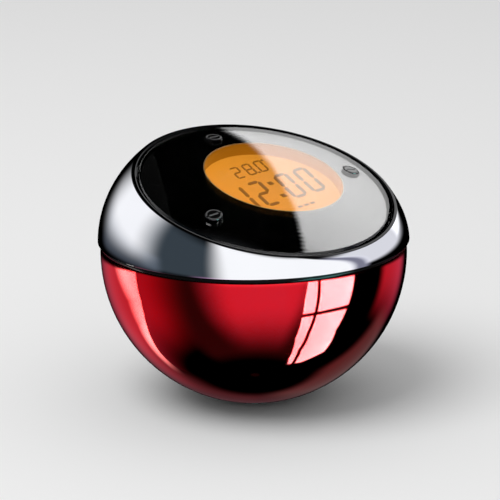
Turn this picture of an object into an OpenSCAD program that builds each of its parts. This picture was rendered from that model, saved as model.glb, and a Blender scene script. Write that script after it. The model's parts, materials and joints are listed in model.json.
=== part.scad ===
// Round table clock: a red ball-shaped bowl, a chromed ring above it and a tilted, domed black lens
// over a lit number display, with three small push keys in the lens.
// Millimetres, +Z up, the reader in front at -Y, origin on the table under the middle of the foot.

/* [Bowl] */
// Radius of the red ball-shaped bowl
bowl_r = 45; // [43:0.5:50]
// Wall thickness of the bowl
wall = 2.2; // [1.8:0.1:2.6]
// Thickness of the bowl's flat floor
floor_t = 2.6; // [2.2:0.1:3.2]
// Height of the bowl's rim above the ball's middle
rim_rise = 2.4; // [1.4:0.1:3]
// Height of the polished trim band between bowl and ring
trim_h = 1.6; // [1.2:0.1:2]

/* [Foot] */
// Radius of the rubber foot pad
foot_r = 11.5; // [11:0.1:13]
// How far the foot pad stands out of the bowl's flat
foot_proud = 0.8; // [0.5:0.1:1.2]
// Depth of the pocket that holds the foot pad
foot_pocket = 0.5; // [0.3:0.1:0.7]

/* [Chromed ring] */
// How far the ring stands out past the bowl
ring_over = 0.7; // [0.4:0.1:1]
// How far the ring rolls in from its widest line to its lip, at the front
front_roll = 2.4; // [2:0.1:3]
// Height of the lip over the ring's lower edge, at the front
front_rise = 4.5; // [4.2:0.1:5.5]
// Width of the ring's lip round the lens
lip_w = 1.2; // [0.9:0.1:1.6]

/* [Lens] */
// Tilt of the face towards the reader
face_tilt = 17.5; // [15:0.5:19]
// Radius of the domed lens, as a share of the bowl's radius
lens_share = 0.8244; // [0.8160:0.0004:0.8300]
// Height of the dome over the lens's rim
dome_rise = 4.3; // [3.5:0.1:5]
// Thickness of the lens
lens_t = 2.2; // [1.8:0.1:2.5]
// Gap between the lens and the ring
lens_gap = 0.5; // [0.4:0.05:0.6]
// Radius of the clear window in the black mask, as a share of the lens's radius
window_share = 0.547; // [0.515:0.001:0.555]

/* [Keys] */
// Radius of a push key's round cap
key_r = 2.45; // [2.2:0.05:2.5]
// How far a key goes in when it is pressed
key_travel = 0.5; // [0.3:0.05:0.6]

/* [Display] */
// Depth of the lit well, from the mask to the display
well_depth = 3.8; // [3.2:0.1:4.2]
// Height of the large time figures, as a share of the window's radius
time_share = 0.658; // [0.6:0.002:0.67]
// Height of the small temperature figures, as a share of the window's radius
temp_share = 0.3; // [0.27:0.005:0.31]
// Lean of the figures, sideways for each unit up
figure_lean = 0.19; // [0.1:0.01:0.2]
// Turn of the rows of figures against the slope of the face
figure_turn = 10; // [6:0.5:11]
// How far the window lies beside the middle of the lens, as a share of the lens's radius
window_beside_share = 0.108; // [0.08:0.002:0.108]
// How far the window lies up the slope from the middle of the lens, as a share of the lens's radius
window_up_share = 0.054; // [0.03:0.002:0.054]

/* [Batteries] */
// Length of one cell with its button, as a share of the bowl's radius
cell_len_share = 0.989; // [0.967:0.001:0.989]
// Radius of one cell, as a share of the bowl's radius
cell_r_share = 0.1167; // [0.1110:0.0001:0.1178]
// Angle of the battery bay below the ball's middle, at the back
bay_angle = 52; // [51:0.5:54]
// Gap round the battery door
door_gap = 0.4; // [0.35:0.05:0.5]
// Radius of the battery door's hinge knuckles
hinge_r = 1.3; // [1.2:0.05:1.4]
// Radius of the battery door's hinge pin
pin_r = 0.5; // [0.4:0.05:0.6]

/* [Speaker] */
// Radius of the loudspeaker's basket, as a share of the bowl's radius
speaker_share = 0.2333; // [0.2223:0.0001:0.2400]
// Angle of the loudspeaker below the ball's middle, at the back
speaker_angle = 12; // [11.5:0.5:12.5]
// Radius of one sound hole
sound_hole_r = 0.8; // [0.6:0.05:1]

/* [Hidden] */
$fn = 96;
// Overrun of every cut past the surface that it leaves
over = 0.5;
// Play between two pieces of one body that slip into each other
play = 0.15;

// The ball and its flat
inner_r = bowl_r - wall;
foot_margin = 1.8;
flat_r = foot_r + foot_margin;
flat_z = -sqrt(pow(bowl_r, 2) - pow(flat_r, 2));
ball_z = foot_proud - flat_z;
floor_z = flat_z + floor_t;
rim_z = rim_rise;
seam_z = rim_rise + trim_h;
spigot_h = 3;
spigot_t = 1.3;

// The ring, from its widest line at the seam to the lip round the lens
lens_r = lens_share * bowl_r;
ring_r = bowl_r + ring_over;
lip_r = lens_r + lens_gap + lip_w;
ring_segments = 96;
ring_steps = 9;
face_y = -(ring_r - front_roll) + lip_r * cos(face_tilt);
face_z = seam_z + front_rise + lip_r * sin(face_tilt);

// The lens, its mask and what it rests on
dome_r = (pow(lens_r, 2) + pow(dome_rise, 2)) / (2 * dome_rise);
lens_chamfer = 0.5;
mask_t = 0.25;
mask_margin = 0.4;
tape_t = 0.4;
tape_w = 2.4;
tape_margin = 0.4;
seat_w = 3.6;
seat_t = 1.5;
seat_r = lens_r - seat_w;
seat_z = dome_height(lens_r, lens_t + mask_t) - tape_t;
flange_z = seat_z - seat_t;

// The display stack, downwards from the mask
window_r = window_share * lens_r;
window_place = [window_beside_share * lens_r, window_up_share * lens_r];
lcd_z = dome_height(window_r, lens_t + mask_t) - well_depth;
glass_t = 1.1;
glass_margin = 0.7;
glass_half = window_r + glass_margin;
ledge_share = 0.105;
ledge_w = ledge_share * window_r;
guide_t = 2.4;
guide_margin = 0.8;
well_t = 1.2;
frame_wall = 1;
frame_clear = 0.3;
frame_floor_t = 0.8;
board_gap = 2.6;
board_t = 1.6;
board_z = lcd_z - 2 * glass_t - guide_t - board_gap;
rubber_w = 1.8;
rubber_margin = 3;
led_w = 3;
led_d = 1.2;
led_h = 2;
led_x = 10;

// The keys and their switches
key_slip = 0.08;
key_proud = 0.15;
key_flange_w = 0.65;
key_flange_r = key_r + key_flange_w;
key_flange_t = 0.8;
key_flange_play = 0.15;
key_stem_r = 1.5;
// Angles of the keys round the middle of the lens, and their distances from it as shares of its radius
key_angles = [91.5, 206, -0.6];
key_ring_shares = [0.763, 0.752, 0.8086];
mark_d = 0.15;
mark_inset = 0.2;
mark_outer_r = key_r - mark_inset;
mark_w = 0.38;
mark_bar_w = 0.62;
mark_bar_len = 2.9;
mark_gap = 0.75;
switch_w = 5.2;
switch_h = 3.4;
plunger_r = 1.6;
plunger_slip = 0.08;
plunger_spare = 0.4;
plunger_out = key_travel + plunger_spare;
plunger_in = 1.4;
plunger_stop = 0.2;
plunger_top_z = board_z + switch_h + plunger_out;

// Parts on the board
chip_r = 7;
chip_h = 1.6;
crystal_r = 1.2;
crystal_len = 6;
crystal_x = 11;
capacitor_r = 2.5;
capacitor_h = 2.7;
capacitor_x = 12;
capacitor_y = -12;
board_clear = 1.3;
board_screw_inset = 2.2;
board_screw_angles = [10, 155, 270];
screw_r = 1;
screw_clear = 0.3;
screw_hole_r = screw_r + screw_clear;
thread_play = 0.03;
pilot_r = screw_r + thread_play;
head_r = 1.9;
head_h = 1.3;
slot_w = 0.5;
slot_d = 0.6;
slot_len_share = 0.7;

// The chassis under the board
standoff_h = 3;
standoff_r = 2.4;
chassis_t = 2;
bite_margin = 1;
chassis_top = board_z - board_t - standoff_h;
chassis_bottom = chassis_top - chassis_t;
boss_r = 2.6;
boss_inset = 1.7;
boss_ring = lens_r - boss_inset;
board_r = boss_ring - boss_r - board_clear;
frame_r = boss_ring - boss_r - frame_clear;
board_screw_ring = board_r - board_screw_inset;
boss_h = 5;
boss_z = flange_z - boss_h;
boss_angles = [40, 140, 220, 320];
chassis_rim = 0.1;
chassis_r = boss_ring + boss_r + chassis_rim;
post_r = 2.9;
post_x = 6.3;
post_clear = 0.4;
post_margin = 0.3;
post_free = 12;
web_t = 1.6;
lead_hole_r = 1.6;
lead_r = 0.45;
bend_extra = 0.1;
lead_drop = 2;
lead_stand = 1.5;
lead_squeeze = 0.5;
// Places where leads pass the chassis, as shares of the board's radius: two for the cells, two for
// the loudspeaker
lead_place_shares = [[-0.635, 0.444], [0.635, 0.444], [-0.159, 0.857], [0.159, 0.857]];

// The base screws, driven from under the foot pad
base_head_r = 2.2;
base_screw_len = 8;
base_head_seat = 1.2;

// The battery bay, built along its own axes: x, up the ball, and outwards
cell_len = cell_len_share * bowl_r;
cell_r = cell_r_share * bowl_r;
cell_gap = 0.6;
cell_pitch = 2 * cell_r + cell_gap;
cell_button_r = 1.9;
cell_button_h = 0.8;
plate_t = 0.5;
spring_room = 2.65;
tray_half = cell_len / 2 + spring_room;
cell_shift = tray_half - plate_t - cell_len / 2;
cell_clear = 1.4;
cell_end = cell_len / 2 - cell_button_h + cell_shift;
cell_reach = sqrt(pow(inner_r - cell_clear, 2) - pow(cell_end, 2)) - cell_r;
cell_out = sqrt(pow(cell_reach, 2) - pow(cell_pitch / 2, 2));
tray_wall = 1.3;
cell_play = 0.4;
tray_side = cell_pitch / 2 + cell_r + cell_play;
tray_floor = cell_out - cell_r - play;
tray_skin = 0.25;
// How far the tray's lower inner edge lies behind the ball's middle
tray_edge = (tray_floor - tray_wall) * cos(bay_angle) - (tray_side + tray_wall) * sin(bay_angle);
door_inset = 1.1;
door_x = tray_half - door_inset;
door_over = 0.7;
door_v = tray_side + door_over;
door_t = wall;
hinge_x = -door_x - door_gap * 2;
hinge_top = sqrt(pow(bowl_r, 2) - pow(hinge_x, 2));
hinge_out = hinge_top - hinge_r;
hinge_reach = sqrt(pow(hinge_top, 2) - pow(hinge_out, 2));
hinge_gap = 0.3;
door_corner = hinge_out - sqrt(pow(inner_r, 2) - pow(hinge_x, 2) - pow(door_v, 2));
lug_in = 3.3;
lug_w = 2.2;
lug_out = lug_in + lug_w;
pin_slip = 0.06;
pin_cover = 0.3;
latch_w = 7;
latch_t = 1;
latch_h = 2.4;
latch_out = sqrt(pow(bowl_r - door_t, 2) - pow(door_x, 2));
grip_r = 5;
grip_d = 0.7;
grip_inset = 7;
grip_x = door_x - grip_inset;
contact_w = 5;
leaf_t = 0.35;
leaf_share = 0.8;
leaf_root_share = 0.7;

// The chassis's posts and the base screws: two before the tray, one at the foot pad's front edge
post_y = tray_edge - post_clear - post_r;
post_places = [[-post_x, post_y], [post_x, post_y], [0, base_head_r + post_margin - foot_r]];

// The loudspeaker, built along its own axes
speaker_r = speaker_share * bowl_r;
speaker_edge = 1.6;
seat_edge = 0.2;
speaker_wall = 1.5;
speaker_seat_r = speaker_r + play + speaker_wall;
speaker_inset = 1.6;
speaker_front = sqrt(pow(inner_r, 2) - pow(speaker_seat_r, 2)) - speaker_inset;
basket_rim_t = 1.2;
basket_t = 0.7;
basket_depth = 4;
basket_step = 0.1;
cone_cap_share = 0.7;
cone_roll_w = 0.6;
cone_roll_inset = 1;
magnet_share = 0.552;
magnet_r = magnet_share * speaker_r;
magnet_h = 3;
clamp_t = 1;
clamp_collar_t = 1.1;
clamp_ear_gap = 2.2;
clamp_ear_x = speaker_seat_r + clamp_ear_gap;
clamp_ear_r = 2.1;
clamp_collar_h = 1.6;
clamp_back = speaker_front - basket_rim_t - clamp_collar_h;
clamp_screw_len = 3.6;
sound_margin = 1.5;
sound_rings = 2;
holes_a_ring = 6;
sound_pitch = (speaker_r - speaker_edge - sound_hole_r - sound_margin) / sound_rings;

// The ballast at the bottom of the bowl
ballast_h = 5;
ballast_lift = 0.2;
ballast_clear = 0.4;

// The figures of the display: their own shares are of their height, their places of the window
time_h = time_share * window_r;
temp_h = temp_share * window_r;
figure_t = 0.12;
time_w_share = 0.315;
temp_w_share = 0.42;
stroke_share = 0.09;
slit_share = 0.012;
dot_share = 0.12;
dot_low_share = 0.168;
dot_high_share = 0.704;
degree_share = 0.85;
time_place_shares = [-0.738, -0.375];
time_pitch_share = 0.569;
colon_room_share = 0.2165;
colon_shift_share = 0.064;
temp_place_shares = [-0.233, 0.431];
temp_pitch_share = 0.755;
point_shift_share = 0.235;
minor_place_shares = [-0.005, -0.6];
minor_size_shares = [0.079, 0.044];
minor_pitch_share = 0.118;
minor_count = 3;
// Strokes lit for each figure, in the order top, upper right, lower right, bottom, lower left,
// upper left, middle
figure_strokes = [
    [1, 1, 1, 1, 1, 1, 0], [0, 1, 1, 0, 0, 0, 0], [1, 1, 0, 1, 1, 0, 1], [1, 1, 1, 1, 0, 0, 1],
    [0, 1, 1, 0, 0, 1, 1], [1, 0, 1, 1, 0, 1, 1], [1, 0, 1, 1, 1, 1, 1], [1, 1, 1, 0, 0, 0, 0],
    [1, 1, 1, 1, 1, 1, 1], [1, 1, 1, 1, 0, 1, 1]
];

// Height over the lens's rim of the dome's surface, sunk by a depth, at a radius
function dome_height(r, depth) =
    sqrt(pow(dome_r - depth, 2) - pow(r, 2)) - (dome_r - dome_rise);
// Height of the top of a key's flange, under the mask
function flange_top(k) =
    dome_height(key_ring_shares[k] * lens_r + key_flange_r, lens_t + mask_t) - key_flange_play;
// A point of the face's own frame in the clock's frame
function face_point(p) = [
    p[0],
    face_y + p[1] * cos(face_tilt) - p[2] * sin(face_tilt),
    ball_z + face_z + p[1] * sin(face_tilt) + p[2] * cos(face_tilt)
];
// A point of a frame that looks out at the back, a number of degrees down, in the clock's frame
function back_point(p, down) = [
    p[0],
    p[1] * sin(down) + p[2] * cos(down),
    ball_z + p[1] * cos(down) - p[2] * sin(down)
];
// Radius and end angle of the arc that rises upright from the seam and rolls in to a point
function roll_r(inward, rise) = (pow(inward, 2) + pow(rise, 2)) / (2 * inward);
function roll_angle(inward, rise) = atan2(rise, roll_r(inward, rise) - inward);

// Frames in which the pieces are drawn
module at_ball() {
    translate([0, 0, ball_z]) children();
}

module on_face() {
    translate([0, face_y, ball_z + face_z]) rotate([face_tilt, 0, 0]) children();
}

// Local Y runs up the ball and local Z outwards, so the frame is turned about X
module at_back(down) {
    at_ball() rotate([-(90 + down), 0, 0]) mirror([0, 1, 0]) children();
}

// The frame of the window and the display under it
module on_display() {
    on_face() translate(window_place) children();
}

module at_key(k) {
    rotate([0, 0, key_angles[k]]) translate([key_ring_shares[k] * lens_r, 0, 0])
        rotate([0, 0, -key_angles[k]]) children();
}

// The ball whose cap is the dome, sunk by a depth
module dome_ball(depth) {
    translate([0, 0, dome_rise - dome_r]) sphere(r = dome_r - depth, $fn = 200);
}

// A tube standing on Z between two heights
module tube(outer, inner, low, high) {
    difference() {
        translate([0, 0, low]) cylinder(r = outer, h = high - low);
        translate([0, 0, low - over]) cylinder(r = inner, h = high - low + 2 * over);
    }
}

module rod(a, b, r) {
    d = b - a;
    len = norm(d);
    translate(a) rotate([0, acos(d[2] / len), atan2(d[1], d[0])])
        cylinder(r = r, h = len, $fn = 24);
}

module wire(points, r) {
    for (i = [1 : len(points) - 1]) rod(points[i - 1], points[i], r);
    for (i = [1 : len(points) - 2]) translate(points[i]) sphere(r = r + bend_extra, $fn = 24);
}

// A pan-headed screw whose head sits under Z = 0 and whose shank points up
module screw(length, r, head, head_height) {
    difference() {
        union() {
            cylinder(r = r, h = length, $fn = 32);
            translate([0, 0, -head_height]) cylinder(r = head, h = head_height, $fn = 32);
        }
        for (turn = [0, 90])
            rotate([0, 0, turn])
                translate([-head * slot_len_share, -slot_w / 2, -head_height - over])
                    cube([2 * head * slot_len_share, slot_w, slot_d + over]);
    }
}

// The ring's outside: a stack of circles that lean over from the seam to the lip
module ring_blank() {
    lip_back = [face_y + lip_r * cos(face_tilt), face_z + lip_r * sin(face_tilt)];
    lip_front = [face_y - lip_r * cos(face_tilt), face_z - lip_r * sin(face_tilt)];
    back_in = ring_r - lip_back[0];
    back_up = lip_back[1] - seam_z;
    front_in = ring_r + lip_front[0];
    front_up = lip_front[1] - seam_z;
    circles = [
        for (k = [0 : ring_steps])
            let (
                b = roll_angle(back_in, back_up) * k / ring_steps,
                f = roll_angle(front_in, front_up) * k / ring_steps,
                back = [ring_r - roll_r(back_in, back_up) * (1 - cos(b)),
                        seam_z + roll_r(back_in, back_up) * sin(b)],
                front = [-ring_r + roll_r(front_in, front_up) * (1 - cos(f)),
                         seam_z + roll_r(front_in, front_up) * sin(f)]
            ) [back, front]
    ];
    points = [
        for (c = circles)
            let (mid = (c[0] + c[1]) / 2, half = (c[0] - c[1]) / 2)
            for (j = [0 : ring_segments - 1])
                let (a = 360 * j / ring_segments)
                [norm(half) * cos(a), mid[0] + half[0] * sin(a), mid[1] + half[1] * sin(a)]
    ];
    n = ring_segments;
    sides = [
        for (k = [0 : ring_steps - 1])
            for (j = [0 : n - 1])
                let (low = k * n, high = (k + 1) * n, next = (j + 1) % n)
                each [[low + j, high + j, high + next], [low + j, high + next, low + next]]
    ];
    bottom = [for (j = [0 : n - 1]) j];
    top = [for (j = [n - 1 : -1 : 0]) ring_steps * n + j];
    polyhedron(points = points, faces = concat(sides, [bottom, top]));
}

module sound_holes() {
    for (ring = [0 : sound_rings])
        for (k = [0 : max(1, holes_a_ring * ring) - 1])
            rotate([0, 0, 360 * k / max(1, holes_a_ring * ring)])
                translate([ring * sound_pitch, 0, speaker_front])
                    cylinder(r = sound_hole_r, h = bowl_r, $fn = 24);
}

module bowl_shell() {
    color("crimson") difference() {
        union() {
            at_ball() difference() {
                sphere(r = bowl_r, $fn = 160);
                difference() {
                    sphere(r = inner_r, $fn = 160);
                    translate([-bowl_r, -bowl_r, floor_z - 2 * bowl_r])
                        cube([2 * bowl_r, 2 * bowl_r, 2 * bowl_r]);
                }
            }
            difference() {
                speaker_mounts();
                at_ball() tube(inner_r - play / 2, inner_r - spigot_t - 2 * play,
                    rim_z - spigot_h - play, bowl_r);
            }
        }
        at_ball() translate([-bowl_r - over, -bowl_r - over, rim_z])
            cube([2 * (bowl_r + over), 2 * (bowl_r + over), 2 * bowl_r]);
        at_ball() translate([-bowl_r, -bowl_r, flat_z - bowl_r])
            cube([2 * bowl_r, 2 * bowl_r, bowl_r]);
        at_ball() translate([0, 0, flat_z - over])
            cylinder(r = foot_r + play, h = foot_pocket + over);
        at_back(bay_angle) {
            door_opening();
            barrel(pin_r + pin_slip, -lug_out + pin_cover, lug_out - pin_cover);
        }
        at_back(speaker_angle) sound_holes();
        for (p = post_places)
            at_ball() translate([p[0], p[1], flat_z]) {
                cylinder(r = screw_hole_r, h = floor_t + over, $fn = 32);
                cylinder(r = base_head_r + play, h = foot_pocket + base_head_seat, $fn = 32);
            }
    }
}

// A round bar on the door's hinge axis, between two heights up the ball
module barrel(r, low, high) {
    translate([hinge_x, low, hinge_out]) rotate([-90, 0, 0])
        cylinder(r = r, h = high - low, $fn = 48);
}

// The same bar twice, on both sides of the middle
module barrels(r, near, far) {
    barrel(r, near, far);
    barrel(r, -far, -near);
}

// The opening for the door: two lugs of the bowl stay in it, and the knuckles turn in the rest
module door_opening() {
    difference() {
        translate([hinge_x, -door_v, 0]) cube([door_x - hinge_x, 2 * door_v, bowl_r + over]);
        barrels(hinge_r, lug_in, lug_out);
    }
    barrel(hinge_r + hinge_gap, -lug_in, lug_in);
    barrels(hinge_r + hinge_gap, lug_out, door_v);
}

// The seat for the loudspeaker and its two screw bosses, inside the bowl's wall
module speaker_mounts() {
    at_back(speaker_angle) difference() {
        intersection() {
            union() {
                tube(speaker_seat_r, speaker_r - speaker_edge, speaker_front, bowl_r);
                tube(speaker_seat_r, speaker_r + play, clamp_back, speaker_front + seat_edge);
                for (side = [-1, 1])
                    translate([side * clamp_ear_x, 0, clamp_back])
                        cylinder(r = clamp_ear_r, h = bowl_r - clamp_back, $fn = 32);
            }
            sphere(r = inner_r + wall / 2, $fn = 160);
        }
        for (side = [-1, 1])
            translate([side * clamp_ear_x, 0, clamp_back - over])
                cylinder(r = pilot_r, h = clamp_screw_len + over, $fn = 24);
    }
}

module trim_band() {
    color("dimgray") at_ball() rotate_extrude() union() {
        translate([inner_r - spigot_t, rim_z])
            square([bowl_r - inner_r + spigot_t - trim_h / 2, trim_h]);
        translate([bowl_r - trim_h / 2, rim_z + trim_h / 2]) circle(r = trim_h / 2, $fn = 48);
        translate([inner_r - play - spigot_t, rim_z - spigot_h])
            square([spigot_t, spigot_h + trim_h]);
    }
}

module chrome_ring() {
    color("silver") difference() {
        union() {
            difference() {
                at_ball() ring_blank();
                intersection() {
                    at_ball() sphere(r = inner_r, $fn = 160);
                    on_face() translate([-bowl_r, -bowl_r, flange_z - 2 * bowl_r])
                        cube([2 * bowl_r, 2 * bowl_r, 2 * bowl_r]);
                }
                on_face() translate([0, 0, seat_z]) cylinder(r = lens_r + lens_gap, h = bowl_r);
                on_face() translate([0, 0, -bowl_r]) cylinder(r = seat_r, h = 2 * bowl_r);
            }
            on_face() for (a = boss_angles)
                rotate([0, 0, a]) translate([boss_ring, 0, boss_z])
                    cylinder(r = boss_r, h = boss_h + seat_t / 2, $fn = 32);
        }
        on_face() for (a = boss_angles)
            rotate([0, 0, a]) translate([boss_ring, 0, boss_z - over])
                cylinder(r = pilot_r, h = boss_h + over, $fn = 24);
    }
}

module key_holes() {
    for (k = [0 : 2])
        at_key(k) translate([0, 0, -lens_r])
            cylinder(r = key_r + key_slip, h = 2 * lens_r, $fn = 48);
}

module lens() {
    color("black", 0.35) on_face() difference() {
        intersection() {
            dome_ball(0);
            rotate_extrude() polygon([
                [0, -lens_t - dome_rise], [lens_r, -lens_t - dome_rise], [lens_r, -lens_chamfer],
                [lens_r - lens_chamfer - 2 * dome_rise, 2 * dome_rise], [0, 2 * dome_rise]
            ]);
        }
        dome_ball(lens_t);
        key_holes();
    }
}

module face_mask() {
    color("black") on_face() difference() {
        intersection() {
            dome_ball(lens_t);
            translate([0, 0, -lens_r / 2]) cylinder(r = lens_r - mask_margin, h = lens_r);
        }
        dome_ball(lens_t + mask_t);
        translate([window_place[0], window_place[1], -lens_r])
            cylinder(r = window_r, h = 2 * lens_r);
        key_holes();
    }
}

module lens_tape() {
    low_r = seat_r + tape_margin;
    high_r = low_r + tape_w;
    color("dimgray") on_face() rotate_extrude() polygon([
        [low_r, seat_z], [high_r, seat_z], [high_r, dome_height(high_r, lens_t + mask_t)],
        [low_r, dome_height(low_r, lens_t + mask_t)]
    ]);
}

// The mark on a key: two arcs of a ring with a bar between them
module key_mark() {
    difference() {
        tube(mark_outer_r, mark_outer_r - mark_w, -lens_r, lens_r);
        translate([-lens_r, -mark_gap / 2, -lens_r]) cube([2 * lens_r, mark_gap, 2 * lens_r]);
    }
    translate([-mark_bar_len / 2, -mark_bar_w / 2, -lens_r])
        cube([mark_bar_len, mark_bar_w, 2 * lens_r]);
}

module key(k) {
    flange_low = flange_top(k) - key_flange_t;
    color("black") on_face() difference() {
        union() {
            intersection() {
                at_key(k) translate([0, 0, flange_low])
                    cylinder(r = key_r, h = dome_rise - flange_low, $fn = 48);
                dome_ball(-key_proud);
            }
            at_key(k) translate([0, 0, flange_low])
                cylinder(r = key_flange_r, h = key_flange_t, $fn = 48);
            at_key(k) translate([0, 0, plunger_top_z])
                cylinder(r = key_stem_r, h = flange_top(k) - plunger_top_z, $fn = 32);
        }
        difference() {
            at_key(k) key_mark();
            dome_ball(mark_d - key_proud);
        }
    }
}

module key_top() {
    key(0);
}

module key_left() {
    key(1);
}

module key_right() {
    key(2);
}

module plunger(k) {
    color("gold") on_face() at_key(k)
        translate([0, 0, plunger_top_z - plunger_out - plunger_in])
            cylinder(r = plunger_r, h = plunger_out + plunger_in, $fn = 32);
}

module plunger_top() {
    plunger(0);
}

module plunger_left() {
    plunger(1);
}

module plunger_right() {
    plunger(2);
}

module switch_bodies() {
    color("dimgray") on_face() for (k = [0 : 2])
        at_key(k) difference() {
            translate([-switch_w / 2, -switch_w / 2, board_z]) cube([switch_w, switch_w, switch_h]);
            translate([0, 0, board_z + switch_h - plunger_in - key_travel - plunger_stop])
                cylinder(r = plunger_r + plunger_slip, h = switch_h, $fn = 32);
        }
}

module window_well() {
    color("goldenrod") on_face() intersection() {
        translate(window_place) tube(window_r + well_t, window_r, lcd_z, dome_rise);
        dome_ball(lens_t + mask_t + play);
    }
}

// A flat block of the display stack, from a height downwards, cut off round the corners
module display_block(half, low_y, high_y, top, thick, round_r) {
    intersection() {
        translate([-half, low_y, top - thick]) cube([2 * half, high_y - low_y, thick]);
        translate([-window_place[0], -window_place[1], top - thick]) cylinder(r = round_r, h = thick);
    }
}

module lcd_front_glass() {
    color("orange", 0.5) on_display()
        display_block(glass_half, -glass_half - ledge_w, glass_half, lcd_z, glass_t,
            frame_r - frame_wall - play);
}

module lcd_rear_glass() {
    color("orange", 0.7) on_display()
        display_block(glass_half, -glass_half, glass_half, lcd_z - glass_t, glass_t,
            frame_r - frame_wall - play);
}

// One stroke of a figure between two points, with the pointed ends of a display's strokes
module stroke(a, b, width, height) {
    d = (b - a) / norm(b - a);
    side = [-d[1], d[0]] * width / 2;
    tip = d * width / 2;
    points = [a, a + tip + side, b - tip + side, b, b - tip - side, a + tip - side];
    linear_extrude(height) polygon([for (p = points) [p[0] + p[1] * figure_lean, p[1]]]);
}

// One figure of a given height, its left strokes centred on X = 0 and its foot on Y = 0
module figure(value, height, w_share) {
    w = height * w_share;
    s = height * stroke_share;
    slit = height * slit_share;
    rows = [s / 2, height / 2, height - s / 2];
    strokes = [
        [0, 2, 1, 2], [1, 1, 1, 2], [1, 0, 1, 1], [0, 0, 1, 0],
        [0, 0, 0, 1], [0, 1, 0, 2], [0, 1, 1, 1]
    ];
    for (k = [0 : len(strokes) - 1])
        if (figure_strokes[value][k] == 1) {
            a = [strokes[k][0] * w, rows[strokes[k][1]]];
            b = [strokes[k][2] * w, rows[strokes[k][3]]];
            d = (b - a) / norm(b - a);
            stroke(a + d * slit, b - d * slit, s, figure_t);
        }
}

// A row of figures, with a gap before those that follow a colon or a point
module figure_row(values, height, w_share, pitch, gap_after, gap) {
    for (k = [0 : len(values) - 1])
        translate([k * pitch + (k > gap_after ? gap : 0), 0, 0]) figure(values[k], height, w_share);
}

module dot(x, y, size) {
    translate([x + y * figure_lean, y, 0]) cube([size, size, figure_t]);
}

module lcd_figures() {
    time_pitch = time_pitch_share * time_h;
    temp_pitch = temp_pitch_share * temp_h;
    time_dot = dot_share * time_h;
    temp_dot = dot_share * temp_h;
    color("saddlebrown") on_display() translate([0, 0, lcd_z]) rotate([0, 0, figure_turn]) {
        translate(time_place_shares * window_r) {
            figure_row([1, 2, 0, 0], time_h, time_w_share, time_pitch, 1,
                colon_room_share * time_h);
            for (share = [dot_low_share, dot_high_share])
                dot(2 * time_pitch - colon_shift_share * time_h, share * time_h, time_dot);
        }
        translate(temp_place_shares * window_r) {
            figure_row([2, 8, 0], temp_h, temp_w_share, temp_pitch, 2, 0);
            dot(2 * temp_pitch - point_shift_share * temp_h, 0, temp_dot);
            dot(3 * temp_pitch - point_shift_share * temp_h, degree_share * temp_h, temp_dot);
        }
        translate(minor_place_shares * window_r)
            for (k = [0 : minor_count - 1])
                translate([k * minor_pitch_share * window_r, 0, 0])
                    cube([minor_size_shares[0] * window_r, minor_size_shares[1] * window_r, figure_t]);
    }
}

module light_guide() {
    color("orange") on_display()
        display_block(glass_half - guide_margin, -glass_half + guide_margin,
            glass_half - led_d - 2 * guide_margin, lcd_z - 2 * glass_t, guide_t,
            frame_r - frame_wall - play);
}

module backlight_leds() {
    color("yellow") on_display() for (side = [-1, 1])
        translate([
            side * led_x - led_w / 2, glass_half - led_d - guide_margin, lcd_z - 2 * glass_t - guide_t
        ]) cube([led_w, led_d, led_h]);
}

module lcd_frame() {
    inside = glass_half + play;
    low = -glass_half - ledge_w - play;
    floor_top = lcd_z - 2 * glass_t - guide_t;
    color("white") on_display() difference() {
        display_block(inside + frame_wall, low - frame_wall, inside + frame_wall, lcd_z,
            lcd_z - board_z, frame_r);
        display_block(inside, low, inside, lcd_z + over, lcd_z + over - floor_top,
            frame_r - frame_wall);
        display_block(inside, low, low + ledge_w, floor_top + over, floor_top - board_z + 2 * over,
            frame_r - frame_wall);
        translate([-inside + frame_wall, low + ledge_w + frame_wall, board_z - over])
            cube([2 * (inside - frame_wall), inside - low - ledge_w - 2 * frame_wall,
                floor_top - frame_floor_t - board_z + over]);
    }
}

module contact_rubber() {
    color("gray") on_display() translate([
        -glass_half + rubber_margin, -glass_half - ledge_w + (ledge_w - rubber_w) / 2, board_z
    ]) cube([2 * (glass_half - rubber_margin), rubber_w, lcd_z - glass_t - board_z]);
}

module main_board() {
    color("darkgreen") on_face() difference() {
        translate([0, 0, board_z - board_t]) cylinder(r = board_r, h = board_t);
        for (a = board_screw_angles)
            rotate([0, 0, a]) translate([board_screw_ring, 0, board_z - board_t - over])
                cylinder(r = screw_hole_r, h = board_t + 2 * over, $fn = 24);
    }
}

// Parts under the board, in the space over the chassis
module sound_chip() {
    color("black") on_face() translate([0, 0, board_z - board_t - chip_h])
        cylinder(r = chip_r, h = chip_h, $fn = 48);
}

module crystal() {
    color("silver") on_face()
        translate([crystal_x, 0, board_z - board_t - crystal_r]) rotate([0, 90, 90])
            cylinder(r = crystal_r, h = crystal_len, $fn = 24);
}

module capacitors() {
    color("navy") on_face() for (side = [-1, 1])
        translate([side * capacitor_x, capacitor_y, board_z - board_t - capacitor_h])
            cylinder(r = capacitor_r, h = capacitor_h, $fn = 32);
}

module board_screws() {
    color("silver") on_face() for (a = board_screw_angles)
        rotate([0, 0, a]) translate([board_screw_ring, 0, board_z]) rotate([180, 0, 0])
            screw(board_t + standoff_h, screw_r, head_r, head_h);
}

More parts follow.
